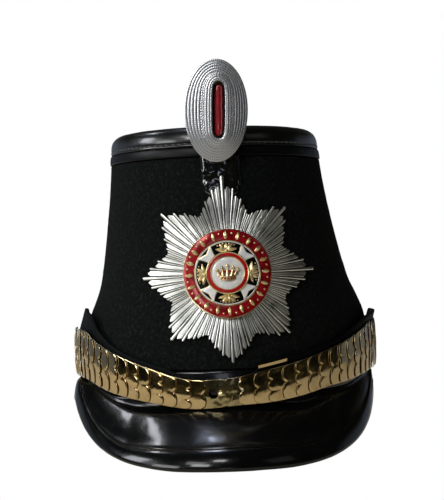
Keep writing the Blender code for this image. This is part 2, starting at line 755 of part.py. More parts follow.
def cockade_ring(share, depth, inset=0.0):
    """A ring of the cockade between the slot (share 0) and its outer edge (share 1)."""
    ring = []
    straight = SLOT_HALF[1] - SLOT_HALF[0]
    turn = math.radians(COCKADE_TURN)
    for angle in circle_angles(COCKADE_STEPS):
        across, up = math.sin(angle), math.cos(angle)
        slot_up = SLOT_HALF[0] * up + straight * max(-1.0, min(1.0, up * 4.0))
        u = (SLOT_HALF[0] * across + SLOT_SHIFT) * (1 - share) + (COCKADE_HALF[0] - inset) * across * share
        v = slot_up * (1 - share) + (COCKADE_HALF[1] - inset) * up * share
        ring.append(place(COCKADE_X + u * math.cos(turn) + v * math.sin(turn), -depth,
                          COCKADE_HEIGHT + v * math.cos(turn) - u * math.sin(turn)))
    return ring


def cockade():
    depths = COCKADE_DEPTHS
    rings = [cockade_ring(1.0, depths["wire_back"]), cockade_ring(0.0, depths["wire_back"])]
    for half_step in range(2 * COCKADE_RIDGES + 1):
        share = half_step / (2 * COCKADE_RIDGES)
        dome = depths["rim"] + (depths["crest"] - depths["rim"]) * math.sqrt(max(0.0, 1.0 - share ** 2.6))
        dome = min(dome, depths["slot_edge"] + share * 3.0)
        rings.append(cockade_ring(share, dome + (depths["ridge"] if half_step % 2 else 0.0)))
    skin("cockade_wire", rings, silver())

    plate = skin("cockade_plate", [cockade_ring(1.0, depths["plate_back"], COCKADE_PLATE_INSET),
                                   cockade_ring(1.0, depths["plate_front"], COCKADE_PLATE_INSET)],
                 enamel("black_cloth", (0.01, 0.01, 0.01)), "cap")
    rings = []
    for height, outer in TANG_ROWS:
        half, inner = TANG["half_width"], TANG["inner"]
        section = ((-half, inner), (half, inner), (half, outer), (0.0, outer), (-half, outer))
        rings.append([on_front(u, height, out, crown_section(height)[3]) for u, out in section])
    unite(plate, skin("tang", rings, silver(), "cap"))

    half_width, half_height = BAR_HALF
    turn = math.radians(COCKADE_TURN)
    rings = []
    for depth in BAR_DEPTHS:
        ring = []
        for angle in circle_angles(BAR_STEPS):
            across, up = math.sin(angle + math.pi / BAR_STEPS), math.cos(angle + math.pi / BAR_STEPS)
            u = half_width * across + SLOT_SHIFT
            v = half_width * up + math.copysign(half_height - half_width, up)
            ring.append(place(COCKADE_X + u * math.cos(turn) + v * math.sin(turn), -depth,
                              COCKADE_HEIGHT + v * math.cos(turn) - u * math.sin(turn)))
        rings.append(ring)
    skin("cockade_bar", rings, enamel("red_cloth", (0.4, 0.01, 0.02)), "cap")


def cockade_pocket():
    """A leather loop on the felt, open at the top, that takes the cockade's tang."""
    cavity_half = TANG["half_width"] + 0.5
    rings = []
    for row in POCKET_ROWS:
        height, half_width, face, inside = (row[POCKET_COLUMNS.index(name)]
                                            for name in ("height", "half_width", "face", "inside"))
        shoulder = face - POCKET_SHOULDER
        hollow = min(cavity_half, half_width * 0.6)
        section = (
            (-half_width, POCKET_SEAT), (-half_width, POCKET_EDGE), (-0.62 * half_width, shoulder),
            (-0.3 * half_width, face), (0.3 * half_width, face),
            (0.62 * half_width, shoulder), (half_width, POCKET_EDGE), (half_width, POCKET_SEAT),
            (hollow + 0.1, POCKET_SEAT), (hollow, inside), (-hollow, inside), (-hollow - 0.1, POCKET_SEAT),
        )
        rings.append([on_front(u, height, out, crown_section(height)[3]) for u, out in section])
    skin("cockade_pocket", rings, leather(), "cap")


def build():
    clear_scene()
    crown()
    leather_top()
    band("top_band", TOP_BAND[0], TOP_BAND[1], -LID_LEATHER, TOP_BAND_PROUD)
    band("base_band", BROW, BASE_BAND_TOP, BASE_BAND_PROUD - BASE_BAND_LEATHER, BASE_BAND_PROUD)
    peak("visor_front", **FRONT_PEAK)
    peak("visor_rear", **REAR_PEAK)
    chin_strap()
    star_plate()
    medallion()
    coronet()
    cockade()
    cockade_pocket()


build()
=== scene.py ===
import math
import random
from bisect import bisect_right

import bmesh
import bpy
from mathutils import Matrix, Vector


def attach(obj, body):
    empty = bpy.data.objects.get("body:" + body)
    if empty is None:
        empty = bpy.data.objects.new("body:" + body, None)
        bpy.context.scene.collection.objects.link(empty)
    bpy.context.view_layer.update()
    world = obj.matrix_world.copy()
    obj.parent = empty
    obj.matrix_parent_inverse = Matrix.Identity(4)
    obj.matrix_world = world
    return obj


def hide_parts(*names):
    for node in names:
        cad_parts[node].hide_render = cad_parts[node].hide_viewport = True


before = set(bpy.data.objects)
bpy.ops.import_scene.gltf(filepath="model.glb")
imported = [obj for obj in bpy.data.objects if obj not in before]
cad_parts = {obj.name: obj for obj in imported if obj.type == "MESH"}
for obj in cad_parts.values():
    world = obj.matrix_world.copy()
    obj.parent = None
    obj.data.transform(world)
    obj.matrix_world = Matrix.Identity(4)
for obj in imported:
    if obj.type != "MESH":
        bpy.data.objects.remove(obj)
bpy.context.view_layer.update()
mm = 0.001
print("frame loaded")

# sizes that the pieces share, in millimetres from the crown's own axis
hat = {
    "axisBack": 11.0,        # the crown's axis lies this far behind the middle of the hat
    "brow": 36.0,
    "leather": 2.0,
    "felt": 3.0,
    "starBend": 72.0,        # how tightly the star is bent round the front
}
crownColumns = ("height", "halfWidth", "front", "back", "lean")
crownRows = (
    (36.0, 86.5, 105.0, 105.0, 0.0),
    (50.0, 86.5, 104.5, 104.5, 0.0),
    (66.0, 86.0, 103.5, 103.5, 0.8),
    (78.0, 83.5, 101.5, 100.5, 1.3),
    (88.0, 79.5, 99.0, 96.0, 1.2),
    (98.0, 75.5, 97.0, 91.5, 0.6),
    (140.0, 67.2, 91.0, 78.0, -1.6),
    (160.0, 64.3, 88.5, 71.5, -2.4),
    (178.0, 62.6, 86.5, 67.5, -3.0),
    (188.0, 61.8, 85.5, 66.0, -3.3),
)
strapColumns = ("along", "lower", "upper", "leatherUpper", "flare")
strapRows = (
    (-185.0, 44.5, 72.5, 83.0, -4.0),
    (-150.0, 44.5, 72.5, 84.0, -4.0),
    (-115.0, 43.6, 71.8, 81.5, -2.0),
    (-98.0, 41.0, 66.2, 72.0, 0.0),
    (-80.0, 37.4, 60.6, 63.2, 0.0),
    (-50.0, 33.0, 52.2, 54.4, 0.0),
    (-20.0, 29.4, 45.4, 48.6, 0.0),
    (0.0, 30.6, 46.4, 48.6, 0.0),
    (20.0, 31.8, 49.9, 54.4, 0.0),
    (40.0, 34.3, 53.8, 57.6, 0.0),
    (60.0, 37.9, 58.4, 61.0, 0.0),
    (80.0, 39.8, 63.1, 66.0, 0.0),
    (98.0, 41.8, 67.6, 71.5, 1.0),
    (115.0, 43.3, 71.5, 75.6, 2.0),
    (150.0, 44.5, 72.5, 77.2, 3.0),
    (185.0, 44.5, 72.5, 77.2, 3.0),
)
# the oval that the strap lies on, stepped off from the middle of the front
strapPath = {"oval": (87.4, 105.9), "clear": 3.0, "steps": 2000, "reach": math.pi * 0.7}


def between(a, b, share):
    return a + (b - a) * share


def spanAt(values, value):
    # the span of a rising list that holds the value, and the share along it
    k = min(bisect_right(values, value) - 1, len(values) - 2)
    return k, (value - values[k]) / (values[k + 1] - values[k])


def readRow(rows, columns, column, at):
    # one column of a table, on a smooth curve that never overshoots its rows
    index, last, places = columns.index(column), len(rows) - 1, [row[0] for row in rows]
    at = min(max(at, places[0]), places[last])
    k, t = spanAt(places, at)
    span = places[k + 1] - places[k]
    slopes = [(two[index] - one[index]) / (two[0] - one[0]) for one, two in zip(rows, rows[1:])]

    def lean(i):
        if i in (0, last):
            return slopes[k]
        if slopes[i - 1] * slopes[i] <= 0.0:
            return 0.0
        return 2.0 * slopes[i - 1] * slopes[i] / (slopes[i - 1] + slopes[i])

    return (rows[k][index] * (1 + 2 * t) * (1 - t) ** 2 + lean(k) * span * t * (1 - t) ** 2
            + rows[k + 1][index] * t * t * (3 - 2 * t) + lean(k + 1) * span * t * t * (t - 1))


def crownAt(height):
    width, front, back, lean = (readRow(crownRows, crownColumns, c, height) for c in crownColumns[1:])
    return width, (back - front) / 2, (back + front) / 2, lean


def place(x, y, z):
    return Vector((x, y + hat["axisBack"], z)) * mm


def onFront(across, height, out, shift=None):
    # a point over the front of the crown; across runs round the bend from a line at x = shift
    shift = crownAt(height)[3] if shift is None else shift

    def face(a, h):
        width, middle, depth, lean = crownAt(h)
        x = hat["starBend"] * math.sin(a / hat["starBend"]) + shift
        return Vector((x, middle - depth * math.sqrt(1.0 - ((x - lean) / width) ** 2), h))

    sideways = face(across + 0.5, height) - face(across - 0.5, height)
    upwards = face(across, height + 0.5) - face(across, height - 0.5)
    return place(*(face(across, height) + sideways.cross(upwards).normalized() * out))


strapAngles = [strapPath["reach"] * step / strapPath["steps"] for step in range(strapPath["steps"] + 1)]
strapLengths = [0.0]
for one, two in zip(strapAngles, strapAngles[1:]):
    x, y = (side + strapPath["clear"] for side in strapPath["oval"])
    speed = math.hypot(x * math.cos((one + two) / 2), y * math.sin((one + two) / 2))
    strapLengths.append(strapLengths[-1] + speed * (two - one))


def onStrap(along, height, out):
    # a point over the brow, along measured round the hat from the middle of the front
    k, share = spanAt(strapLengths, min(abs(along), strapLengths[-2]))
    angle = math.copysign(between(strapAngles[k], strapAngles[k + 1], share), along)
    x, y = (side + out for side in strapPath["oval"])
    return place(x * math.sin(angle), -y * math.cos(angle), height)


def strapEdge(column, along):
    return readRow(strapRows, strapColumns, column, along)


def alongAt(angle):
    # the distance along the strap at an angle round the hat
    k, share = spanAt(strapAngles, abs(angle))
    return math.copysign(between(strapLengths[k], strapLengths[k + 1], share), angle)


# modelling

def clearPick():
    if bpy.context.mode != "OBJECT":
        bpy.ops.object.mode_set(mode="OBJECT")
    bpy.ops.object.select_all(action="DESELECT")


def take(piece):
    # the one piece that the next operators act on
    clearPick()
    piece.select_set(True)
    bpy.context.view_layer.objects.active = piece


def newest(name):
    piece = bpy.context.object
    piece.name = piece.data.name = name
    return piece


def pickEdges(piece, test):
    # in edit mode: selects the edges that pass a test
    bpy.ops.mesh.select_mode(type="EDGE")
    bpy.ops.mesh.select_all(action="DESELECT")
    mesh = bmesh.from_edit_mesh(piece.data)
    for edge in mesh.edges:
        if test(edge):
            edge.select_set(True)
    mesh.select_flush_mode()
    bmesh.update_edit_mesh(piece.data)


def settle(piece):
    # puts the object's own place and scale into its mesh
    take(piece)
    bpy.ops.object.transform_apply(location=True, rotation=True, scale=True)
    return piece


def addModifier(piece, kind, **settings):
    take(piece)
    modifier = piece.modifiers.new(kind.lower(), kind)
    for key, value in settings.items():
        setattr(modifier, key, value)
    bpy.ops.object.modifier_apply(modifier=modifier.name)


def thicken(piece, thick, **settings):
    addModifier(piece, "SOLIDIFY", thickness=thick * mm, offset=-1.0, **settings)


def softenEdges(piece, width, **settings):
    addModifier(piece, "BEVEL", width=width * mm, segments=2, limit_method="ANGLE",
                angle_limit=math.radians(50), **settings)


def lump(piece, size, depth):
    # an uneven surface: the form goes in and out by half the depth, in lumps of that size
    texture = bpy.data.textures.new(piece.name + "Lumps", "CLOUDS")
    texture.noise_scale = size * mm
    addModifier(piece, "DISPLACE", texture=texture, texture_coords="LOCAL", strength=depth * mm,
                mid_level=0.5)


def weld(piece, turn=True):
    # merges doubles, as at a seam, and turns the faces outwards
    take(piece)
    bpy.ops.object.mode_set(mode="EDIT")
    bpy.ops.mesh.select_all(action="SELECT")
    bpy.ops.mesh.remove_doubles(threshold=0.01 * mm)
    if turn:
        bpy.ops.mesh.normals_make_consistent(inside=False)
    bpy.ops.object.mode_set(mode="OBJECT")
    return piece


def pullRings(name, rings, steps, ends="open"):
    # a circle is drawn, then pulled from ring to ring as on a former
    # each ring: height, middle x, middle y, radius x, radius y
    clearPick()
    height, middleX, middleY, radiusX, radiusY = (value * mm for value in rings[0])
    bpy.ops.mesh.primitive_circle_add(vertices=steps, radius=1.0, location=(0, 0, 0))
    piece = newest(name)
    bpy.ops.object.mode_set(mode="EDIT")
    bpy.ops.mesh.select_all(action="SELECT")
    bpy.ops.transform.resize(value=(radiusX, radiusY, 1.0), center_override=(0, 0, 0))
    bpy.ops.transform.translate(value=(middleX, middleY, height))
    if ends == "fill":
        bpy.ops.mesh.edge_face_add()
    for before, after in zip(rings, rings[1:]):
        move = [(after[i] - before[i]) * mm for i in (1, 2, 0)]
        bpy.ops.mesh.extrude_edges_move(TRANSFORM_OT_translate={"value": move})
        bpy.ops.transform.resize(value=(after[3] / before[3], after[4] / before[4], 1.0),
                                 center_override=(after[1] * mm, after[2] * mm, after[0] * mm))
    if ends == "fill":
        bpy.ops.mesh.edge_face_add()
    if ends == "loop":
        pickEdges(piece, lambda e: len(e.link_faces) == 1)
        bpy.ops.mesh.bridge_edge_loops()
    bpy.ops.object.mode_set(mode="OBJECT")
    return weld(piece)


def crownRing(height, out, level=None, shrink=1.0):
    width, middle, depth, lean = crownAt(height)
    return (height if level is None else level, lean, middle + hat["axisBack"],
            (width + out) * shrink, (depth + out) * shrink)


def sheetOn(name, columns, rows, where):
    # a flat grid is drawn and laid over a form: where takes the two shares, 0 to 1, of its sides
    clearPick()
    bpy.ops.mesh.primitive_grid_add(x_subdivisions=columns, y_subdivisions=rows, size=1.0, location=(0, 0, 0),
                                    calc_uvs=True)
    piece = newest(name)
    for vert in piece.data.vertices:
        vert.co = where(vert.co.x + 0.5, vert.co.y + 0.5)
    return piece


def ball(name, at, radius, stretch=(1.0, 1.0, 0.8), segments=14, rings=9):
    clearPick()
    bpy.ops.mesh.primitive_uv_sphere_add(segments=segments, ring_count=rings, radius=radius * mm,
                                         location=[value * mm for value in at])
    piece = newest(name)
    bpy.ops.transform.resize(value=stretch)
    return settle(piece)


def bendOn(piece, where):
    # a piece made flat, in metres, is laid on the hat: where takes millimetres
    for vert in piece.data.vertices:
        vert.co = where(*(vert.co / mm))
    piece.data.update()
    return piece


def joinAll(name, pieces):
    clearPick()
    for piece in pieces:
        piece.select_set(True)
    bpy.context.view_layer.objects.active = pieces[0]
    bpy.ops.object.join()
    return newest(name)


def copyOf(piece, name):
    twin = piece.copy()
    twin.data = piece.data.copy()
    twin.name = twin.data.name = name
    bpy.context.collection.objects.link(twin)
    return twin


def giveStuffs(piece, *names):
    for name in names:
        piece.data.materials.append(stuffs[name])


def mount(piece, stuff, slot, *nodes, degrees=35.0):
    # a finished piece: its material, the body it rides on and the CAD nodes that it stands for
    settle(piece)
    bpy.ops.object.shade_smooth_by_angle(angle=math.radians(degrees))
    if stuff is not None:
        piece.data.materials.clear()
        giveStuffs(piece, stuff)
    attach(piece, "root")
    if nodes:
        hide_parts(*nodes)


# materials

def hexColour(text):
    parts = [int(text[i:i + 2], 16) / 255 for i in (1, 3, 5)]
    return tuple(c / 12.92 if c <= 0.04045 else ((c + 0.055) / 1.055) ** 2.4 for c in parts) + (1.0,)


def perMetre(size):
    # a texture's scale on Object coordinates, from the size of its pattern in millimetres
    return 1000.0 / size


def plug(node, inputs):
    # an input takes a value, a socket or another node's first output
    for key, value in inputs.items():
        source = value.outputs[0] if isinstance(value, bpy.types.Node) else value
        if isinstance(source, bpy.types.NodeSocket):
            node.id_data.links.new(source, node.inputs[key])
        else:
            node.inputs[key].default_value = source


def addNode(tree, kind, inputs=None, stops=(), **settings):
    # stops are a colour ramp's own: the place and the colour of each
    node = tree.nodes.new("ShaderNode" + kind)
    for key, value in settings.items():
        setattr(node, key, value)
    plug(node, inputs or {})
    for number, (at, colour) in enumerate(stops):
        points = node.color_ramp.elements
        point = points[number] if number < len(points) else points.new(at)
        point.position, point.color = at, hexColour(colour)
    return node


def newStuff(name, **fixed):
    # a material whose even values sit on the shader's own sockets, and the coordinates of its patterns
    stuff = bpy.data.materials.new(name)
    stuff.use_nodes = True
    tree = stuff.node_tree
    shader = tree.nodes["Principled BSDF"]
    plug(shader, {key.replace("_", " "): value for key, value in fixed.items()})
    return stuff, tree, shader, addNode(tree, "TexCoord").outputs["Object"]


def woolFelt():
    # dense black wool felt, blocked and steamed: no gloss, a short nap and a mottled, slightly grey face
    stuff, tree, shader, where = newStuff("woolFelt", Roughness=1.0, Specular_IOR_Level=0.08)
    nap = addNode(tree, "TexNoise", {"Vector": where, "Scale": perMetre(0.8), "Detail": 4.0,
                                     "Roughness": 0.75})
    tufts = addNode(tree, "TexNoise", {"Vector": where, "Scale": perMetre(1.8), "Detail": 3.0})
    blend = addNode(tree, "Math", {0: nap, 1: tufts}, operation="MULTIPLY")
    colour = addNode(tree, "ValToRGB", {"Fac": blend},
                     ((0.12, "#060707"), (0.27, "#0f1211"), (0.42, "#1e2422")))
    fine = addNode(tree, "Bump", {"Height": nap, "Strength": 0.6, "Distance": 0.0005})
    bump = addNode(tree, "Bump", {"Height": tufts, "Strength": 0.3, "Distance": 0.0008, "Normal": fine})
    plug(shader, {"Base Color": colour, "Normal": bump})
    return stuff


def waxedLeather(name, gloss, grain, ripple, coat, shine):
    # vegetable tanned cowhide, dyed black, waxed and polished: a glossy face over a faint pebble grain
    stuff, tree, shader, where = newStuff(name, IOR=1.46, Specular_IOR_Level=shine, Coat_Weight=coat,
                                          Coat_Roughness=gloss * 0.6)
    cells = addNode(tree, "TexVoronoi", {"Vector": where, "Scale": perMetre(grain)}, feature="SMOOTH_F1")
    pores = addNode(tree, "TexNoise", {"Vector": where, "Scale": perMetre(grain * 0.7), "Detail": 4.0})
    waves = addNode(tree, "TexNoise", {"Vector": where, "Scale": perMetre(14.0), "Detail": 2.0})
    wear = addNode(tree, "TexNoise", {"Vector": where, "Scale": perMetre(22.0), "Detail": 6.0,
                                      "Roughness": 0.65})
    colour = addNode(tree, "ValToRGB", {"Fac": wear}, ((0.3, "#040505"), (0.6, "#08090a"), (0.8, "#0d0e10")))
    rough = addNode(tree, "MapRange", {"Value": wear, "From Min": 0.3, "From Max": 0.75, "To Min": gloss,
                                       "To Max": gloss + 0.14})
    bump = addNode(tree, "Bump", {"Height": cells, "Strength": 0.1, "Distance": 0.0004})
    bump = addNode(tree, "Bump", {"Height": pores, "Strength": 0.08, "Distance": 0.0003, "Normal": bump})
    bump = addNode(tree, "Bump", {"Height": waves, "Strength": ripple, "Distance": 0.002, "Normal": bump})
    plug(shader, {"Base Color": colour, "Roughness": rough, "Normal": bump})
    return stuff


def patentLeather():
    # leather under a thick lacquer, cracked into small creases that throw white glints
    stuff, tree, shader, where = newStuff("patentLeather", Base_Color=hexColour("#08090b"), Roughness=0.14,
                                          IOR=1.55, Coat_Weight=1.0, Coat_Roughness=0.04)
    folds = addNode(tree, "TexNoise", {"Vector": where, "Scale": perMetre(7.5), "Detail": 1.0,
                                       "Distortion": 0.8})
    plug(shader, {"Normal": addNode(tree, "Bump", {"Height": folds, "Strength": 0.3, "Distance": 0.0016})})
    return stuff


def rolledMetal(name, bright, dull, gloss, dents):
    # rolled sheet, buffed to a mirror and handled: faint dents, smears and a little tarnish
    stuff, tree, shader, where = newStuff(name, Metallic=1.0)
    smear = addNode(tree, "TexNoise", {"Vector": where, "Scale": perMetre(9.0), "Detail": 6.0,
                                       "Roughness": 0.6})
    dent = addNode(tree, "TexNoise", {"Vector": where, "Scale": perMetre(5.0), "Detail": 1.0})
    scratch = addNode(tree, "TexNoise", {"Vector": where, "Scale": perMetre(0.6), "Detail": 3.0})
    colour = addNode(tree, "ValToRGB", {"Fac": smear}, ((0.32, dull), (0.5, bright), (1.0, bright)))
    rough = addNode(tree, "MapRange", {"Value": smear, "From Min": 0.35, "From Max": 0.7,
                                       "To Min": gloss + 0.05, "To Max": gloss})
    bump = addNode(tree, "Bump", {"Height": dent, "Strength": dents, "Distance": 0.0012})
    bump = addNode(tree, "Bump", {"Height": scratch, "Strength": 0.05, "Distance": 0.0002, "Normal": bump})
    plug(shader, {"Base Color": colour, "Roughness": rough, "Normal": bump})
    return stuff


def struckSilver():
    # nickel silver struck in a die, grimy in patches at random; lighter along each ray's middle and darker
    # towards its edges: painted shade in the valleys between the rays
    stuff, tree, shader, where = newStuff("struckSilver", Metallic=1.0)
    flat = addNode(tree, "UVMap", uv_map="UVMap")
    ridge = addNode(tree, "Math", {0: addNode(tree, "SeparateXYZ", {"Vector": flat}), 1: math.pi},
                    operation="MULTIPLY")
    # the sine across each ray, low at its edges: it paints the shade in the valleys between rays
    crest = addNode(tree, "Math", {0: ridge}, operation="SINE")
    stretch = addNode(tree, "Mapping", {"Vector": flat, "Scale": (7.0, 0.12, 1.0)})
    lines = addNode(tree, "TexNoise", {"Vector": stretch, "Scale": 1.5, "Detail": 0.0})
    grime = addNode(tree, "TexNoise", {"Vector": where, "Scale": perMetre(7.0), "Detail": 2.0})
    mixed = addNode(tree, "Math", {0: crest, 1: grime}, operation="MULTIPLY")
    colour = addNode(tree, "ValToRGB", {"Fac": mixed},
                     ((0.04, "#22231f"), (0.12, "#787873"), (0.24, "#dcddd9")))
    rough = addNode(tree, "MapRange", {"Value": grime, "From Min": 0.3, "From Max": 0.7, "To Min": 0.28,
                                       "To Max": 0.37})
    bump = addNode(tree, "Bump", {"Height": lines, "Strength": 0.04, "Distance": 0.0004})
    plug(shader, {"Base Color": colour, "Roughness": rough, "Normal": bump})
    return stuff


def bullionWire(name, bright, dull, pitch):
    # silver wire wound on a core: U runs along each cord in millimetres, and the turns lie a little askew
    stuff, tree, shader, where = newStuff(name, Metallic=1.0, Roughness=0.35)
    flat = addNode(tree, "UVMap", uv_map="UVMap")
    askew = addNode(tree, "Mapping", {"Vector": flat, "Scale": (1.0 / pitch, 1.0, 1.0)})
    # a wave texture makes one band in about 0.314 of its own units
    winding = addNode(tree, "TexWave", {"Vector": askew, "Scale": 0.314, "Distortion": 0.4, "Detail": 1.0},
                      wave_type="BANDS", bands_direction="DIAGONAL").outputs["Fac"]
    tone = addNode(tree, "TexNoise", {"Vector": where, "Scale": perMetre(4.0), "Detail": 3.0})
    mixed = addNode(tree, "Math", {0: winding, 1: tone}, operation="MULTIPLY")
    colour = addNode(tree, "ValToRGB", {"Fac": mixed}, ((0.0, dull), (0.4, bright)))
    plug(shader, {"Base Color": colour,
                  "Normal": addNode(tree, "Bump", {"Height": winding, "Strength": 0.1, "Distance": 0.0002})})
    return stuff


def firedEnamel(name, light, dark, clear, wet=0.4):
    # glass fused on metal: a wet gloss over a colour that pools a little
    # the clearer it is, the more the metal shows
    stuff, tree, shader, where = newStuff(name, Roughness=0.22, Metallic=clear, Specular_IOR_Level=wet,
                                          Coat_Weight=wet * 0.8, Coat_Roughness=0.08)
    pool = addNode(tree, "TexNoise", {"Vector": where, "Scale": perMetre(4.0), "Detail": 4.0})
    colour = addNode(tree, "ValToRGB", {"Fac": pool}, ((0.35, dark), (0.62, light)))
    plug(shader, {"Base Color": colour,
                  "Normal": addNode(tree, "Bump", {"Height": pool, "Strength": 0.15, "Distance": 0.0005})})
    return stuff


def woundYarn(name, light, dark):
    # cotton yarn wound or woven tightly, about 0.5 mm a turn
    stuff, tree, shader, where = newStuff(name, Roughness=0.42, Sheen_Weight=0.1, Coat_Weight=0.25,
                                          Coat_Roughness=0.2)
    turns = addNode(tree, "TexWave", {"Vector": where, "Scale": perMetre(32.0), "Distortion": 1.5,
                                      "Detail": 2.0},
                    wave_type="BANDS", bands_direction="Z").outputs["Fac"]
    tone = addNode(tree, "TexNoise", {"Vector": where, "Scale": perMetre(2.0), "Detail": 3.0})
    mixed = addNode(tree, "Math", {0: turns, 1: tone}, operation="MULTIPLY")
    colour = addNode(tree, "ValToRGB", {"Fac": mixed}, ((0.05, dark), (0.5, light)))
    plug(shader, {"Base Color": colour,
                  "Normal": addNode(tree, "Bump", {"Height": turns, "Strength": 0.5, "Distance": 0.0004})})
    return stuff


def varnishedSilk(name, light, dark):
    # silk cord under clear varnish: a dark glassy red with a streak of light along it
    stuff, tree, shader, where = newStuff(name, Roughness=0.28, IOR=1.5, Coat_Weight=1.0, Coat_Roughness=0.06)
    fibres = addNode(tree, "Mapping", {"Vector": where, "Scale": (3.0, 3.0, 0.5)})
    tone = addNode(tree, "TexNoise", {"Vector": fibres, "Scale": perMetre(2.6), "Detail": 3.0})
    colour = addNode(tree, "ValToRGB", {"Fac": tone}, ((0.35, dark), (0.65, light)))
    plug(shader, {"Base Color": colour,
                  "Normal": addNode(tree, "Bump", {"Height": tone, "Strength": 0.35, "Distance": 0.0006})})
    return stuff


stuffs = {
    "felt": woolFelt(),
    # gloss, grain in millimetres, ripple, coat, shine
    "leather": waxedLeather("waxedLeather", 0.17, 1.3, 0.14, 0.44, 0.16),
    "bandLeather": waxedLeather("bandLeather", 0.34, 1.1, 0.22, 0.0, 0.16),
    "polishedBand": waxedLeather("polishedBandLeather", 0.16, 1.1, 0.12, 0.34, 0.32),
    "lidLeather": waxedLeather("lidLeather", 0.26, 1.3, 0.2, 0.56, 0.4),
    "strapLeather": waxedLeather("strapLeather", 0.5, 1.1, 0.22, 0.0, 0.07),
    "patent": patentLeather(),
    # bright and dull colour, gloss, depth of the dents
    "brass": rolledMetal("polishedBrass", "#c0aa80", "#9f8a5e", 0.05, 0.06),
    # a lighter brass for rims and bevels: a painted highlight along the edges of scales and plates
    "brassEdgeHighlight": rolledMetal("brassEdgeHighlight", "#e2d3ab", "#c8b486", 0.42, 0.05),
    # a darker, mottled brass for the end plates: partly tarnish, partly a painted reflection of the dark room
    "tarnishAndShadeBrass": rolledMetal("tarnishAndShadeBrass", "#a39670", "#413e2c", 0.1, 0.25),
    "gilt": rolledMetal("giltBrass", "#eddaa8", "#b99a62", 0.3, 0.12),
    "silver": struckSilver(),
    "wire": bullionWire("bullionWire", "#e6e7e8", "#c6c8ca", 0.55),
    "redEnamel": firedEnamel("redEnamel", "#c0141d", "#8f0c14", 0.0),
    "ringEnamel": firedEnamel("ringEnamel", "#a5131d", "#700a11", 0.2, 0.22),
    "blackEnamel": firedEnamel("blackEnamel", "#08090a", "#040405", 0.0, 0.12),
    "whiteEnamel": firedEnamel("whiteEnamel", "#f6f3ee", "#dcdfe4", 0.0),
    "blackCloth": woundYarn("blackCloth", "#141516", "#060607"),
    "redSilk": varnishedSilk("redSilk", "#b3131f", "#760b13"),
    "thread": woundYarn("waxedThread", "#434447", "#1a1b1d"),
}
print("materials made:", len(stuffs))


crown = {
    # height and distance from the crown's face: tucked in behind the base band and below the lid
    "foot": ((36.0, -1.4), (50.2, -1.4), (51.0, -0.1)),
    "head": ((169.1, 0.0), (169.6, -2.3), (183.7, -2.3)),
    "from": 51.8, "to": 168.3, "rowGap": 2.6, "steps": 240, "lumps": (3.0, 0.35),
}


def makeCrown():
    rows, height = list(crown["foot"]), crown["from"]
    while height < crown["to"]:
        rows.append((height, 0.0))
        height += crown["rowGap"]
    piece = pullRings("feltCrown", [crownRing(*row) for row in (*rows, *crown["head"])], crown["steps"])
    lump(piece, *crown["lumps"])
    thicken(piece, hat["felt"], use_even_offset=True)
    mount(piece, "felt", "felt", "felt_crown")


lid = {
    # where on the crown, distance from its face, and for the flat top the level and the share of the width
    "rows": (
        (175.6, -0.5), (175.7, -0.1), (176.1, 0.08), (176.7, 0.05), (177.0, -0.12),
        (177.25, -0.3), (177.5, -0.12), (177.9, 0.12), (179.0, 0.2), (181.0, 0.1),
        (182.6, -0.25), (184.0, -0.85), (185.2, -1.75), (186.2, -3.0),
        (186.9, -4.5), (187.25, -6.2), (187.3, -8.2), (187.3, -10.5, 187.1), (187.3, -13.0, 186.8),
        (187.3, -13.0, 186.4, 0.85), (187.3, -13.0, 186.0, 0.65), (187.3, -13.0, 185.7, 0.42),
        (187.3, -13.0, 185.55, 0.2), (187.3, -13.0, 185.5, 0.02),
    ),
    "steps": 160, "lumps": (9.0, 0.3), "rimBelow": 180.0,
    "stitch": (1.35, 0.42, 0.42), "stitchGap": 4.05, "stitchHeight": 177.25,
    "stitchIn": 0.1, "stitchTilt": 0.12,
}


def makeLid():
    piece = pullRings("leatherTop", [crownRing(*row) for row in lid["rows"]], lid["steps"])
    take(piece)
    bpy.ops.object.mode_set(mode="EDIT")
    pickEdges(piece, lambda e: len(e.link_faces) == 1 and e.verts[0].co.z > lid["rimBelow"] * mm)
    bpy.ops.mesh.edge_face_add()
    bpy.ops.object.mode_set(mode="OBJECT")
    lump(piece, *lid["lumps"])
    thicken(piece, hat["leather"])
    mount(piece, "lidLeather", "leather", "leather_top", degrees=50)


def sew(name, size, places, slot):
    # one stitch is modelled, then sewn in at each place
    stitch = ball("stitch", (0.0, 0.0, 0.0), 1.0, size, 8, 6)
    sewn = []
    for where in places:
        sewn.append(copyOf(stitch, f"{name}{len(sewn)}"))
        sewn[-1].matrix_world = where
    bpy.data.objects.remove(stitch)
    mount(joinAll(name, sewn), "thread", slot)


def sewLid():
    width, middle, depth, lean = crownAt(lid["stitchHeight"])
    width, depth = width - lid["stitchIn"], depth - lid["stitchIn"]
    path = [Vector((lean + width * math.sin(a), middle - depth * math.cos(a), 0.0))
            for a in (math.tau * k / 1440 for k in range(1441))]
    gone, due, places = 0.0, 0.0, []
    for one, two in zip(path, path[1:]):
        gone += (two - one).length
        if gone >= due:
            due += lid["stitchGap"]
            way = two - one
            turn = (Matrix.Rotation(math.atan2(way.y, way.x), 4, "Z")
                    @ Matrix.Rotation(lid["stitchTilt"], 4, "Y"))
            places.append(Matrix.Translation(place(one.x, one.y, lid["stitchHeight"])) @ turn)
    sew("lidThread", lid["stitch"], places, "leather")


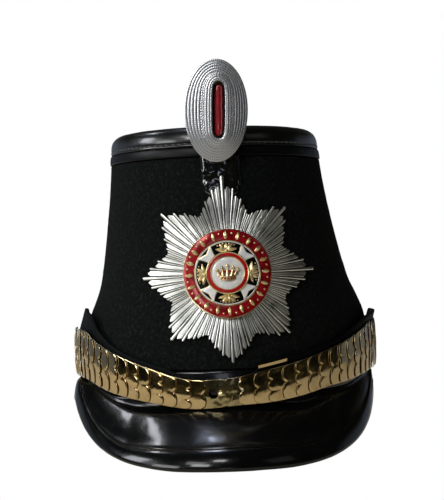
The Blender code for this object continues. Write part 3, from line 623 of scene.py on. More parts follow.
# strips of leather round the crown: CAD node, leather, and the edge as height and distance from the crown
bands = {
    "topBand": ("top_band", "bandLeather",
                ((169.9, -1.8), (169.9, 0.1), (170.15, 0.45), (170.6, 0.55), (172.5, 0.62), (174.4, 0.5),
                 (174.9, 0.35), (175.2, 0.0), (175.2, -1.8))),
    "baseBand": ("base_band", "polishedBand",
                 ((36.0, -1.0), (36.0, 0.5), (36.4, 0.85), (37.2, 0.95), (43.0, 1.0),
                  (48.6, 0.95), (49.4, 0.8), (49.9, 0.4), (50.0, -0.1), (50.0, -1.0))),
}

makeCrown()
makeLid()
sewLid()
for name, (node, stuff, edge) in bands.items():
    strip = pullRings(name, [crownRing(*row) for row in edge], lid["steps"], "loop")
    mount(strip, stuff, "leather", node, degrees=60)
print("crown made")


peaks = {
    "frontPeak": {
        "node": "visor_front", "columns": 72, "side": -1, "centre": 10.0, "halfWidth": 90.7, "reach": 140.0,
        "edgeAt": 39.0, "sideEdge": 31.0, "outlineEnd": 84.0, "browEnd": 83.0, "bead": 11.0, "beadSide": 3.0,
        "shift": -2.7, "sideTop": 44.6,
    },
    "rearPeak": {
        "node": "visor_rear", "columns": 56, "side": 1, "centre": 10.0, "halfWidth": 90.0, "reach": 118.0,
        "edgeAt": 39.0, "sideEdge": 31.0, "outlineEnd": 78.0, "browEnd": 74.0, "bead": 7.0, "beadSide": 3.0,
        "shift": 0.0, "sideTop": 35.7,
    },
}
peakCut = {
    "leather": 3.0, "seat": 35.7, "rim": 8.5, "rimShare": 0.42, "fullBead": 11.0, "offBand": 0.9,
    "underStrap": 0.8, "climbFull": 2.0, "pared": 0.9, "paredOver": 0.4, "lumps": (16.0, 0.3),
    # under the brow: distance from the band and drop below the seat
    "tuck": ((-4.5, 0.0), (-2.8, 0.0), (-1.1, 0.2)), "foldDrop": 0.4,
    # from the brow to the groove: share of the way out and share of the fall
    "slope": ((0.0, 0.15), (0.02, 0.235), (0.12, 0.295), (0.24, 0.36), (0.37, 0.46),
              (0.507, 0.565), (0.64, 0.675), (0.78, 0.797), (0.9, 0.915)),
    # where it climbs the band its first rows stand at least this far out
    "stand": (1.2, 1.7, 2.2),
    # the groove and the rolled edge: share of the rim left, share of the edge's height, step in mm
    "roll": ((1.1, 1.0, 0.95), (1.04, 1.0, 0.45), (1.0, 1.0, -0.6), (0.95, 1.0, 0.25), (0.88, 1.0, 0.42),
             (0.76, 0.97, 0.35), (0.6, 0.89, 0.2), (0.42, 0.77, 0.1), (0.26, 0.61, 0.0), (0.12, 0.41, 0.0),
             (0.03, 0.2, 0.0), (0.0, 0.0, 0.0)),
}


def peakProfile(reach, edge, bead, climb):
    # climb is how far the leather stands up outside the base band, below the chin strap
    seat, rim = peakCut["seat"], min(peakCut["rim"], peakCut["rimShare"] * reach)
    fall, inner = seat - edge - bead, reach - rim * peakCut["roll"][0][0]
    clear = min(1.0, climb / peakCut["climbFull"])
    points = [(inner * out, seat - fall * down) for out, down in peakCut["slope"]]
    points += [(reach - rim * left, edge + bead * high + rise * bead / peakCut["fullBead"])
               for left, high, rise in peakCut["roll"]]
    points = [(out, z + climb * (1 - (max(0.0, out) / reach) ** 4)) for out, z in points]
    for k, least in enumerate(peakCut["stand"]):
        points[k] = (max(points[k][0], least * clear), points[k][1])
    return ([(out, seat - drop) for out, drop in peakCut["tuck"]]
            + [(peakCut["offBand"] * clear, seat - peakCut["foldDrop"])] + points)


def makePeak(name, spec):
    side, far = spec["side"], spec["centre"] + spec["reach"]
    rowCount = len(peakProfile(30.0, 0.0, 10.0, 0.0)) - 1
    width, middle, depth, _ = crownAt(hat["brow"])
    width, depth = width + peakCut["offBand"], depth + peakCut["offBand"]
    thickness = []

    def where(u, v):
        share = (1 - 2 * u) * side
        outline, brow = math.radians(spec["outlineEnd"] * share), math.radians(spec["browEnd"] * share)
        start = Vector((width * math.sin(brow), middle + side * depth * math.cos(brow)))
        end = Vector((spec["shift"] + spec["halfWidth"] * math.sin(outline),
                      side * (spec["centre"] + spec["reach"] * math.cos(outline))))
        climb = min(1.0, (far - abs(end.y)) / (far - spec["edgeAt"])) if side * end.y > 0 else 1.0
        edge = max(0.0, spec["sideEdge"] * climb ** 1.9 - 0.3)
        bead = between(spec["beadSide"], spec["bead"], math.cos(outline) ** 1.5)
        under = strapEdge("lower", math.copysign(alongAt(abs(brow)), start.x)) + peakCut["underStrap"]
        rise = max(0.0, min(spec["sideTop"], under) - peakCut["seat"])
        reach = (end - start).length
        out, z = peakProfile(reach, edge, bead, rise)[rowCount - round(v * rowCount)]
        # the leather is pared thin where it stands up along the band
        thin = max(0.0, 1.0 - max(0.0, out) / (peakCut["paredOver"] * reach))
        thickness.append(1.0 - peakCut["pared"] * min(1.0, rise / peakCut["climbFull"]) * thin)
        way = (end - start).normalized()
        return place(start.x + way.x * out, start.y + way.y * out, z)

    piece = sheetOn(name, spec["columns"], rowCount, where)
    pared = piece.vertex_groups.new(name="pared")
    for number, share in enumerate(thickness):
        pared.add([number], share, "REPLACE")
    thicken(piece, peakCut["leather"], vertex_group="pared")
    addModifier(piece, "SUBSURF", levels=1, render_levels=1)
    lump(piece, *peakCut["lumps"])
    mount(piece, "leather", "leather", spec["node"], degrees=50)


for name, spec in peaks.items():
    makePeak(name, spec)
print("peaks made")


strap = {
    "leatherOut": 1.9, "leatherThick": 1.6, "leatherLow": 1.2, "end": 177.0,
    "leftStart": 15.0, "rightStart": 3.0, "roundOver": 12.0, "roundLow": 4.0, "roundHigh": 12.0,
    "narrowOver": 24.0, "narrowTop": 0.5, "flareFrom": 0.65,
    "count": 17, "pitch": 8.27, "lap": 3.5, "sheet": 0.45, "seat": 2.95, "rise": 0.085,
    "lobeDeep": 2.4, "lobeSwell": 0.12, "first": {"left": 15.6, "right": 11.1}, "bow": 0.024,
    "flatHeight": 20.0, "tilt": 0.035, "roll": 0.12,
}


def makeStrapLeather(name, start, end, node):
    def where(u, v):
        along = between(start, end, u)
        low, high = strapEdge("lower", along) + strap["leatherLow"], strapEdge("leatherUpper", along)
        rounded = max(0.0, (abs(along) - strap["end"] + strap["roundOver"]) / strap["roundOver"]) ** 2
        low, high = low + strap["roundLow"] * rounded, high - strap["roundHigh"] * rounded
        # at the front it narrows until the end plates hide it
        shown = min(1.0, (abs(along) - min(abs(start), abs(end))) / strap["narrowOver"])
        high = between(strapEdge("upper", along) - strap["narrowTop"], high, shown)
        flare = strapEdge("flare", along) * max(0.0, v - strap["flareFrom"]) / (1 - strap["flareFrom"])
        return onStrap(along, between(low, high, v), strap["leatherOut"] + flare)

    piece = sheetOn(name, 90, 12, where)
    thicken(piece, strap["leatherThick"])
    softenEdges(piece, 0.4)
    mount(piece, "strapLeather", "leather", node, degrees=50)


def makeFlatScale(lobes):
    # one brass scale cut flat: the lobed edge is at x = 0, the root goes under the next scale
    length = strap["pitch"] + strap["lap"]

    def where(u, v):
        inLobe = 2.0 * (v * lobes - min(lobes - 1, int(v * lobes + 1e-6))) - 1.0
        edge = strap["lobeDeep"] * (1.0 - math.sqrt(max(0.0, 1.0 - inLobe ** 2)))
        swell = strap["lobeSwell"] * (1.0 - inLobe ** 2) * (1.0 - u) ** 2
        return Vector((between(edge, length, u), (v - 0.5) * strap["flatHeight"], swell)) * mm

    piece = sheetOn(f"flatScale{lobes}", 7, 12 * lobes, where)
    giveStuffs(piece, "brass", "brassEdgeHighlight")
    # the rims take the lighter brass, a painted highlight on each scale's edge
    thicken(piece, strap["sheet"], material_offset_rim=1)
    softenEdges(piece, 0.12)
    return piece


def onScale(along, share, seat, z):
    # a point over the row of scales, share running from its lower edge to its upper one
    low, high = strapEdge("lower", along), strapEdge("upper", along)
    bow = strap["bow"] * (high - low) * (1.0 - (2 * share - 1) ** 2)
    return onStrap(along, between(low, high, share), seat + bow + z)


def makeScales():
    flat = {2: makeFlatScale(2), 3: makeFlatScale(3)}
    wobble = random.Random(5)
    for word, side in (("left", -1), ("right", 1)):
        for number in range(strap["count"]):
            tilt, roll = (wobble.uniform(-strap[key], strap[key]) for key in ("tilt", "roll"))
            free = strap["first"][word] + number * strap["pitch"]

            def where(x, y, z):
                share = y / strap["flatHeight"] + 0.5
                lift = (strap["rise"] * (strap["pitch"] + strap["lap"] - x) + tilt * (share - 0.5) * 4
                        + roll * (1 - x / 12))
                return onScale(side * (free + x), share, strap["seat"] + strap["sheet"] + lift, z)

            piece = bendOn(copyOf(flat[2 + number % 2], f"scale{word.title()}{number + 1:02d}"), where)
            if side < 0:
                weld(piece)
            mount(piece, None, "brass", f"scale_{word}_{number + 1:02d}", degrees=40)
    for piece in flat.values():
        bpy.data.objects.remove(piece)


plates = {
    "left": {"root": -18.0, "tip": -0.3, "rounded": 6.5, "steps": ((-18.0, 2.45), (-12.0, 3.3), (0.0, 3.3))},
    "right": {"root": 16.0, "tip": -8.9, "rounded": 6.0, "steps": ((-10.0, 2.25), (16.0, 2.25))},
    "sheet": 0.7, "fill": 0.98, "join": -6.6, "joinHeight": 37.6, "keyhole": 2.6, "fromStud": 4.7,
    "slot": 1.15, "ball": 2.25, "ballOut": 4.3, "neck": 0.75, "neckIn": 1.6, "lobe": (2.8, 14.5),
    "lobeOut": 3.0, "rivet": (4.6, 39.8, 3.75), "rivetRadius": 0.7,
}


def makePlate(word):
    spec, sheet = plates[word], plates["sheet"]
    toTip = 1 if spec["tip"] > spec["root"] else -1

    def where(u, v):
        side = 2 * v - 1
        end = spec["tip"] - toTip * spec["rounded"] * (1 - math.sqrt(max(0.0, 1 - side * side)))
        along = between(spec["root"], end, u)
        low, high = strapEdge("lower", along), strapEdge("upper", along)
        out = readRow(spec["steps"], ("along", "out"), "out", along)
        bow = strap["bow"] * 0.5 * (high - low) * (1 - side * side)
        return onStrap(along, (low + high) / 2 + (high - low) / 2 * plates["fill"] * side, out + sheet + bow)

    piece = weld(sheetOn(f"endPlate{word.title()}", 40, 30, where))
    # the plate's face is the darker brass: tarnish plus a painted reflection of the dark room
    giveStuffs(piece, "tarnishAndShadeBrass", "brassEdgeHighlight")
    # rims and bevels take the lighter brass, a painted highlight on the plate's edge
    thicken(piece, sheet, material_offset_rim=1)
    softenEdges(piece, 0.28, material=1)
    return piece


def cutHole(piece, along, width, height):
    # a hole through a plate, its sides square to the front
    clearPick()
    bpy.ops.mesh.primitive_cylinder_add(vertices=40, radius=1.0, depth=12.0 * mm,
                                        rotation=(math.pi / 2, 0, 0))
    drill = newest("drill")
    bpy.ops.transform.resize(value=(width * mm, 1.0, height * mm))
    middle = onStrap(plates["join"], plates["joinHeight"], 3.0)
    drill.location = (middle.x + (along - plates["join"]) * mm, middle.y, middle.z)
    settle(drill)
    addModifier(piece, "BOOLEAN", object=drill, operation="DIFFERENCE", solver="EXACT")
    bpy.data.objects.remove(drill)


def makeFastening():
    left, right = makePlate("left"), makePlate("right")
    away = plates["fromStud"]
    cutHole(left, plates["join"] - away, plates["keyhole"], plates["keyhole"])
    cutHole(left, plates["join"] - away / 2, away / 2 + plates["slot"], plates["slot"])
    mount(left, None, "brass", "end_plate_left", degrees=40)

    # the ball stud, a last lobed scale and its small rivet belong to the right plate
    even = (1.0, 1.0, 1.0)
    at = onStrap(plates["join"], plates["joinHeight"], plates["ballOut"]) / mm
    stud = [ball("studBall", at, plates["ball"], even),
            ball("studNeck", at + Vector((0.0, plates["neckIn"], 0.0)), plates["neck"], even)]
    for piece in stud:
        giveStuffs(piece, "gilt")
    first, last = plates["lobe"]

    def where(x, y, z):
        along = first + x * (last - first) / (strap["pitch"] + strap["lap"])
        return onScale(along, y / strap["flatHeight"] + 0.5, plates["lobeOut"] + strap["sheet"], z)

    lastScale = bendOn(makeFlatScale(2), where)
    rivet = ball("rivet", onStrap(*plates["rivet"]) / mm, plates["rivetRadius"], even)
    parts = [right, *stud, lastScale, rivet]
    mount(joinAll("endPlateRight", parts), None, "brass", "end_plate_right", degrees=40)


keeper = {"ends": ((14.0, 51.7), (31.2, 54.9)), "width": 2.0, "inner": 2.2, "outer": 3.4, "tilt": 0.22}


def makeKeeper():
    # a flat brass bar, its face turned a little to the ground
    (start, low), (end, high) = keeper["ends"]

    def where(u, v):
        height = between(low, high, u) + (v - 0.5) * keeper["width"]
        return onStrap(between(start, end, u), height, keeper["outer"] + (v - 0.5) * keeper["tilt"])

    piece = sheetOn("keeperBar", 20, 4, where)
    thicken(piece, keeper["outer"] - keeper["inner"])
    softenEdges(piece, 0.15)
    mount(piece, "brass", "brass", "keeper_bar", degrees=40)


button = {
    "along": 168.0, "height": 58.0, "steps": 40,
    # distance from the brow and radius, from the shank to the top of the dome
    "rings": ((2.2, 2.2), (3.4, 2.2), (3.4, 7.2), (3.6, 7.9), (4.0, 8.1), (4.4, 7.9), (4.5, 7.3), (4.3, 7.0),
              (4.35, 6.6), (4.9, 6.0), (5.5, 4.8), (5.9, 3.2), (6.1, 1.5), (6.15, 0.1)),
}


def makeSideButton(word, side):
    rings = [(out, 0.0, 0.0, radius, radius) for out, radius in button["rings"]]
    piece = pullRings(f"sideButton{word.title()}", rings, button["steps"], "fill")
    bendOn(piece, lambda x, y, z: onStrap(side * button["along"] + x, button["height"] + y, z))
    mount(piece, "brass", "brass", f"side_button_{word}", degrees=40)


makeStrapLeather("strapLeatherLeft", -strap["end"], -strap["leftStart"], "strap_leather_left")
makeStrapLeather("strapLeatherRight", strap["rightStart"], strap["end"], "strap_leather_right")
makeScales()
makeFastening()
makeKeeper()
makeSideButton("left", -1)
makeSideButton("right", 1)
print("chin strap made")


star = {
    "height": 102.8, "shift": -1.1, "turn": 1.4, "liftFrom": 131.0, "liftFull": 144.0, "lift": 1.8,
    "root": 18.5, "sheet": 0.8, "rootOut": 2.5, "tipOut": 1.95, "narrow": 3.0,
    # how far each point reaches, from the top one clockwise; the upright ones end in a narrow finger
    "reach": (55.0, 50.5, 54.5, 49.0, 49.0, 49.0, 51.0, 51.0), "meanReach": 51.5, "follow": 0.6,
    # rays from a point's axis to the valley: width in degrees, length; broad ones and narrow ones in turn
    "axisWidth": 2.3,
    "rays": ((4.7, 47.4), (1.9, 46.2), (4.6, 43.0), (1.9, 41.4), (4.3, 39.2), (1.8, 37.4), (2.15, 36.0)),
    "notch": 2.7, "crest": 0.4, "groove": 0.15, "grooves": (-0.42, 0.05, 0.5), "grooveWidth": 0.12,
}


def onStar(x, y, out):
    turn = math.radians(star["turn"])
    across, up = x * math.cos(turn) - y * math.sin(turn), y * math.cos(turn) + x * math.sin(turn)
    height = star["height"] + up
    climb = (height - star["liftFrom"]) / (star["liftFull"] - star["liftFrom"])
    raised = out + star["lift"] * min(1.0, max(0.0, climb))
    bent = hat["starBend"] / (hat["starBend"] + out)
    return onFront(across * bent, height, raised, crownAt(star["height"])[3] + star["shift"])


def makeRay(name, width, tip, toAxis, angle, dice):
    # a struck ray: a narrow one is round, a broad one nearly flat with fine grooves and a pointed end
    half, narrow = math.radians(width) / 2, width < star["narrow"]
    tip += dice.uniform(-0.5, 0.5)
    peak = 0.3 * toAxis + dice.uniform(-0.2, 0.2)
    tilt, crest = dice.uniform(-0.12, 0.12), star["crest"] * dice.uniform(0.8, 1.2)
    grooves = [(at + dice.uniform(-0.12, 0.12), star["groove"] * dice.uniform(0.4, 1.2))
               for at in star["grooves"]]

    def where(u, v):
        side = 2 * u - 1
        away = side - peak
        out = between(star["rootOut"], star["tipOut"], v)
        if narrow:
            end = tip - 0.9 * abs(side) ** 2.2
            out += 1.2 * crest * (1 - side * side)
        else:
            end = tip - star["notch"] * (abs(away) / (1 - peak if away > 0 else 1 + peak)) ** 1.2
            out += crest * (1 - abs(side) ** 4) + tilt * side * (1 - abs(side) ** 3)
            out -= sum(deep * math.exp(-((side - at) / star["grooveWidth"]) ** 2) for at, deep in grooves)
        radius, turned = between(star["root"], end, v), angle + side * half
        return Vector((radius * math.sin(turned), radius * math.cos(turned), out)) * mm

    piece = sheetOn(name, 8 if narrow else 22, 8, where)
    shift = dice.uniform(0.0, 40.0)
    for corner in piece.data.uv_layers["UVMap"].data:
        corner.uv.y += shift
    return piece


def makeStar():
    dice = random.Random(11)
    pieces = []
    shortest, longest = star["rays"][-1][1], star["rays"][0][1]
    for point, reach in enumerate(star["reach"]):
        middle = math.tau * point / len(star["reach"])
        pieces.append(makeRay(f"axis{point}", star["axisWidth"], reach, 0, middle, dice))
        for side in (-1, 1):
            turned = math.radians(star["axisWidth"]) / 2
            for number, (width, tip) in enumerate(star["rays"]):
                share = (tip - shortest) / (longest - shortest)
                stretch = 1.0 + (reach / star["meanReach"] - 1.0) * star["follow"] * share
                turned += math.radians(width) / 2
                pieces.append(makeRay(f"ray{point}{number}", width, tip * stretch, -side,
                                      middle + side * turned, dice))
                turned += math.radians(width) / 2
    piece = joinAll("starPlate", pieces)
    thicken(piece, star["sheet"])
    bendOn(piece, onStar)
    mount(piece, "silver", "nickel_silver", "star_plate", degrees=50)


makeStar()
print("star made")


medal = {
    "steps": 96,
    # finish, slot and CAD node of each ring, then its edge as radius and distance from the crown
    "rings": {
        "medallionBase": ("gilt", "gilt", "medallion_base",
                          ((0.1, 3.8), (24.6, 3.8), (25.0, 4.1), (25.05, 4.6), (24.95, 5.2), (24.85, 5.45),
                           (24.7, 5.45), (24.6, 5.2), (24.5, 4.6), (18.7, 4.6), (18.6, 5.2), (18.5, 5.5),
                           (18.35, 5.6), (18.2, 5.5), (18.05, 5.2), (17.4, 4.9), (0.1, 4.9))),
        "redRing": ("ringEnamel", "red_enamel", "enamel_ring_red",
                    ((18.65, 4.95), (18.7, 5.22), (19.0, 5.3), (21.5, 5.34), (24.2, 5.3), (24.45, 5.22),
                     (24.5, 4.95))),
        "blackField": ("blackEnamel", "black_enamel", "enamel_field_black",
                       ((8.0, 5.2), (8.0, 5.45), (12.0, 5.5), (17.2, 5.45), (17.35, 5.2))),
        "redBand": ("redEnamel", "red_enamel", "enamel_band_red",
                    ((9.6, 6.5), (9.65, 6.85), (10.4, 7.0), (11.15, 6.85), (11.2, 6.5))),
        "whiteRim": ("whiteEnamel", "white_enamel", None,
                     ((17.35, 5.4), (17.45, 5.85), (17.7, 6.0), (17.95, 5.85), (18.05, 5.4))),
    },
    "whiteDisc": ((9.3, 5.9), (9.3, 6.15), (9.1, 6.3), (7.0, 6.45), (4.0, 6.55), (0.1, 6.6)),
    "goldRings": (((11.2, 6.3), (11.25, 7.0), (11.6, 7.25), (11.95, 7.0), (12.1, 6.3)),
                  ((9.15, 6.3), (9.2, 6.9), (9.4, 7.1), (9.6, 6.9), (9.65, 6.3))),
    "armRows": ((10.6, 2.3), (12.5, 2.7), (14.5, 3.6), (16.9, 5.0)),
    "armNotch": 1.5, "armOut": 6.25,
    # a spray's leaves: length, width, lean in degrees, foot, curl; its berries: place and radius
    "leaves": ((5.3, 2.9, 0.0, 11.8, 0.0), (5.9, 2.7, 32.0, 11.9, 0.6), (5.9, 2.7, -32.0, 11.9, -0.6),
               (6.0, 2.4, 60.0, 12.0, 1.4), (6.0, 2.4, -60.0, 12.0, -1.4)),
    "berries": (((1.7, 16.6, 6.0), 0.5), ((-1.7, 16.6, 6.0), 0.5), ((0.0, 12.6, 6.6), 0.8),
                ((4.6, 15.6, 6.0), 0.45), ((-4.6, 15.6, 6.0), 0.45)),
    "ringLeaves": 20, "ringLeaf": (4.5, 2.3, 0.0, 19.3, 0.0), "ringLeafDown": 0.45,
    "ringBerry": ((0.0, 22.6, 5.45), 0.62),
}


def ringFlat(name, edge, ends="loop"):
    return pullRings(name, [(out, 0.0, 0.0, radius, radius) for radius, out in edge], medal["steps"], ends)


def layOnStar(piece, stuff, slot, *nodes):
    mount(bendOn(piece, onStar), stuff, slot, *nodes, degrees=40)


def makeArm(name, grow, out, thick):
    # one arm of the cross: narrow at the ring, wide and notched at its end
    rows = medal["armRows"]

    def where(u, v):
        side = 2 * u - 1
        half = readRow(rows, ("radius", "half"), "half", between(rows[0][0], rows[-1][0], v)) + grow
        end = rows[-1][0] + grow - medal["armNotch"] * (1 - abs(side)) ** 1.3
        return Vector((side * half, between(rows[0][0], end, v), out + 0.12 * (1 - side * side))) * mm

    piece = sheetOn(name, 12, 12, where)
    thicken(piece, thick)
    softenEdges(piece, 0.08)
    return piece


def makeLeaf(name, long, wide, lean, foot, curl):
    # a plain pointed leaf with a midrib, raised in the middle
    turn = math.radians(lean)

    def where(u, v):
        side = 2 * u - 1
        half = wide / 2 * math.sin(math.pi * min(1.0, v * 0.94 + 0.06)) ** 0.75
        x, up = side * half + curl * v * v, long * v
        dome = 0.75 * (1 - side * side) * math.sin(math.pi * (v * 0.9 + 0.08))
        dome -= 0.22 * math.exp(-(side / 0.16) ** 2)
        return Vector((x * math.cos(turn) + up * math.sin(turn),
                       foot + up * math.cos(turn) - x * math.sin(turn), 6.0 + dome)) * mm

    piece = sheetOn(name, 8, 10, where)
    thicken(piece, 0.35)
    return piece


def spinRound(piece, name, angles):
    # copies turned round the medallion's middle take the piece's place
    twins = [copyOf(piece, f"{name}{k}") for k in range(len(angles))]
    for twin, angle in zip(twins, angles):
        twin.data.transform(Matrix.Rotation(-angle, 4, "Z"))
    bpy.data.objects.remove(piece)
    return twins


def makeMedallion():
    for name, (stuff, slot, node, edge) in medal["rings"].items():
        layOnStar(ringFlat(name, edge), stuff, slot, *([node] if node else []))

    quarters = [math.pi / 4 + math.pi / 2 * k for k in range(4)]
    arms = spinRound(makeArm("arm", 0.0, medal["armOut"], 0.3), "arm", quarters)
    unders = spinRound(makeArm("underArm", 0.4, medal["armOut"] - 0.14, 0.4), "underArm", quarters)
    disc = ringFlat("whiteDisc", medal["whiteDisc"], "fill")
    layOnStar(joinAll("whiteCross", [*arms, disc]), "whiteEnamel", "white_enamel", "enamel_cross_white")

    parts = [makeLeaf(f"leaf{k}", *leaf) for k, leaf in enumerate(medal["leaves"])]
    parts += [ball(f"berry{k}", *berry) for k, berry in enumerate(medal["berries"])]
    sprays = spinRound(joinAll("spray", parts), "spray", [math.pi / 2 * k for k in range(4)])
    rings = [ringFlat(f"goldRing{k}", edge) for k, edge in enumerate(medal["goldRings"])]
    layOnStar(joinAll("leafRing", sprays + rings + unders), "gilt", "gilt", "leaf_ring")

    # upright leaves with a berry between, all round the red ring
    leaf = makeLeaf("slenderLeaf", *medal["ringLeaf"])
    leaf.data.transform(Matrix.Translation((0, 0, -medal["ringLeafDown"] * mm)))
    turns = [math.tau * k / medal["ringLeaves"] for k in range(medal["ringLeaves"])]
    wreath = spinRound(leaf, "ringLeaf", turns)
    halfway = [turn + turns[1] / 2 for turn in turns]
    wreath += spinRound(ball("ringBerry", *medal["ringBerry"]), "ringBerry", halfway)
    layOnStar(joinAll("ringWreath", wreath), "gilt", "gilt")


coronet = {
    "bandHalf": 4.3, "bandLow": -4.4, "bandHigh": -1.9, "sag": 0.06, "out": 7.0,
    "tips": ((-5.7, 1.9), (-3.0, 3.0), (0.0, 4.1), (3.0, 3.0), (5.7, 1.9)), "tine": (1.45, 0.2),
    "footShare": 0.74, "pearl": 0.95, "stone": 0.5, "stones": (-3.3, -1.7, 0.0, 1.7, 3.3),
    "capHalf": (3.6, 4.2), "capTop": 1.6,
}


def makeCoronet():
    # an open coronet of plain shape: a jewelled band, five leaves, a pearl on each
    out, low, high, sag = (coronet[key] for key in ("out", "bandLow", "bandHigh", "sag"))

    def bandAt(u, v):
        x = (2 * u - 1) * coronet["bandHalf"]
        rim = 0.35 if v < 0.15 or v > 0.85 else 0.0
        bulge = 0.45 * (1 - (2 * u - 1) ** 2)
        return Vector((x, between(low, high, v) + sag * x * x, out + bulge + rim)) * mm

    parts = [sheetOn("coronetBand", 20, 9, bandAt)]
    for number, (tipX, tipY) in enumerate(coronet["tips"]):
        footX = tipX * coronet["footShare"]

        def tineAt(u, v):
            x = between(footX, tipX, v) + (2 * u - 1) * between(*coronet["tine"], v ** 0.75)
            y = between(high - 0.3 + sag * footX * footX, tipY, v)
            return Vector((x, y, out + 0.3 + 0.4 * (1 - (2 * u - 1) ** 2))) * mm

        parts.append(sheetOn(f"tine{number}", 6, 12, tineAt))
    solid = joinAll("coronet", parts)
    thicken(solid, 0.6)
    pearls = [ball(f"pearl{n}", (x, y, out + 0.5), coronet["pearl"], (1.0, 1.0, 0.9))
              for n, (x, y) in enumerate(coronet["tips"])]
    stones = [ball(f"stone{n}", (x, (low + high) / 2 + sag * x * x, out + 0.55), coronet["stone"])
              for n, x in enumerate(coronet["stones"])]
    layOnStar(joinAll("coronet", [solid, *pearls]), "gilt", "gilt", "coronet")

    # red enamel shows between the leaves of the coronet and in the stones of its band
    def capAt(u, v):
        x = (2 * u - 1) * between(*coronet["capHalf"], v)
        y = between(high + sag * x * x, coronet["capTop"] - 0.05 * x * x, v)
        return Vector((x, y, out + 0.12 + 0.25 * (1 - (2 * u - 1) ** 2))) * mm

    cap = sheetOn("coronetCap", 16, 8, capAt)
    thicken(cap, 0.5)
    layOnStar(joinAll("coronetCap", [cap, *stones]), "redEnamel", "red_enamel")


makeMedallion()
makeCoronet()
print("medallion made")


cockade = {
    "x": -4.0, "height": 194.9, "turn": 2.0, "half": (17.8, 28.7), "slotHalf": (4.1, 16.6), "slotShift": 1.5,
    "rim": 94.0, "crest": 98.2, "slotEdge": 98.0, "relief": 0.31,
    # each cord from the slot outwards: share of the way to the rim, half width, its twist's depth and pitch
    "cords": (
        (0.085, 0.85, 0.05, 1.5), (0.19, 0.9, 0.0, 1.0), (0.285, 0.62, 0.13, 1.5), (0.35, 0.62, -0.13, 1.5),
        (0.45, 0.95, 0.0, 1.0), (0.57, 0.95, 0.0, 1.0), (0.69, 0.95, 0.0, 1.0), (0.81, 0.95, 0.0, 1.0),
        (0.93, 0.95, 0.0, 1.0),
    ),
    "rope": (0.015, 0.6, 0.16, 1.7), "cordSteps": 720, "bodyDown": 0.45, "bodyThick": 1.2,
    "pad": 93.9, "padSteps": 160, "padLumps": (1.2, 0.5), "fringe": (-0.03, 0.055),
    "bar": (2.25, 1.5, 12.4), "barEnd": 2.2, "barDepth": 94.6,
}


def onCockade(x, depth, up):
    turn = math.radians(cockade["turn"])
    return place(cockade["x"] + x * math.cos(turn) + up * math.sin(turn), -depth,
                 cockade["height"] + up * math.cos(turn) - x * math.sin(turn))


def cockadeOval(share, angle):
    (slotX, slotUp), (halfX, halfUp) = cockade["slotHalf"], cockade["half"]
    across, up = math.sin(angle), math.cos(angle)
    inner = slotX * up + (slotUp - slotX) * math.tanh(up * 3.0) / math.tanh(3.0)
    return (between(slotX * across + cockade["slotShift"], halfX * across, share),
            between(inner, halfUp * up, share))


def cockadeDome(share):
    rise = max(0.0, 1.0 - min(1.0, max(0.0, share)) ** 1.3) ** 0.85
    return min(between(cockade["rim"], cockade["crest"], rise), cockade["slotEdge"] + share * 3.0)


def makeCord(name, share, thick, deep, pitch):
    # a wire-wound cord laid along one oval, its strands turning as it goes
    count = cockade["cordSteps"]
    path = [Vector(cockadeOval(share, math.tau * k / count)) for k in range(count)]
    path.append(path[0])
    lengths = [0.0]
    for one, two in zip(path, path[1:]):
        lengths.append(lengths[-1] + (two - one).length)
    turns = round(lengths[-1] / pitch) * (1 if deep >= 0 else -1)
    centre = cockadeDome(share) - thick * 0.3

    def where(u, v):
        k, part = spanAt(lengths, u * lengths[-1])
        point = path[k].lerp(path[k + 1], part)
        way = (path[k + 1] - path[k]).normalized()
        swell = thick * (1.0 + abs(deep) * 2 * math.cos(2 * math.tau * v + math.tau * turns * u))
        sideways = math.cos(math.tau * v) * swell
        depth = centre + math.sin(math.tau * v) * swell * cockade["relief"]
        return onCockade(point.x + way.y * sideways, depth, point.y - way.x * sideways)

    piece = sheetOn(name, abs(turns) * 6 if deep else 200, 10, where)
    for corner in piece.data.uv_layers["UVMap"].data:
        corner.uv.x *= lengths[-1]
    return weld(piece, turn=False)


def makeCockade():
    cords = [makeCord(f"cord{number}", *row) for number, row in enumerate(cockade["cords"])]
    rope = makeCord("slotRope", *cockade["rope"])

    def bodyAt(u, v):
        x, up = cockadeOval(v, math.tau * u)
        return onCockade(x, cockadeDome(v) - cockade["bodyDown"], up)

    body = weld(sheetOn("cockadeBody", 96, 12, bodyAt), turn=False)
    thicken(body, cockade["bodyThick"])
    mount(joinAll("cockadeWire", [body, rope, *cords]), "wire", "silver_wire", "cockade_wire", degrees=60)

    # black cloth lines the slot and the red cord lies on it
    ragged, steps = random.Random(3), cockade["padSteps"]
    fringe = [ragged.uniform(*cockade["fringe"]) for _ in range(steps)]

    def padAt(u, v):
        x, up = cockadeOval(-0.02 + fringe[round(u * steps) % steps] * max(0.0, v * 5 - 4), math.tau * u)
        depth = cockade["pad"] - 0.6 * v * v + 2.1 * v ** 8
        return onCockade(between(cockade["slotShift"], x, v), depth, up * v)

    pad = sheetOn("slotPad", steps, 10, padAt)
    lump(pad, *cockade["padLumps"])
    mount(pad, "blackCloth", "black_cloth", degrees=60)

    # a ball is drawn out into a bar with round ends
    wide, thick, long = cockade["bar"]
    clearPick()
    bpy.ops.mesh.primitive_uv_sphere_add(segments=24, ring_count=32, radius=1.0, location=(0, 0, 0))
    silk = newest("cockadeBar")
    for vert in silk.data.vertices:
        x, y, z = vert.co
        across = cockade["slotShift"] + wide * x * (1 + 0.03 * math.cos(z * 60))
        up = math.copysign(long, z) * min(1.0, abs(z) * 6.0) + cockade["barEnd"] * z
        vert.co = onCockade(across, cockade["barDepth"] - y * thick, up)
    mount(weld(silk), "redSilk", "red_cloth", "cockade_bar", degrees=60)


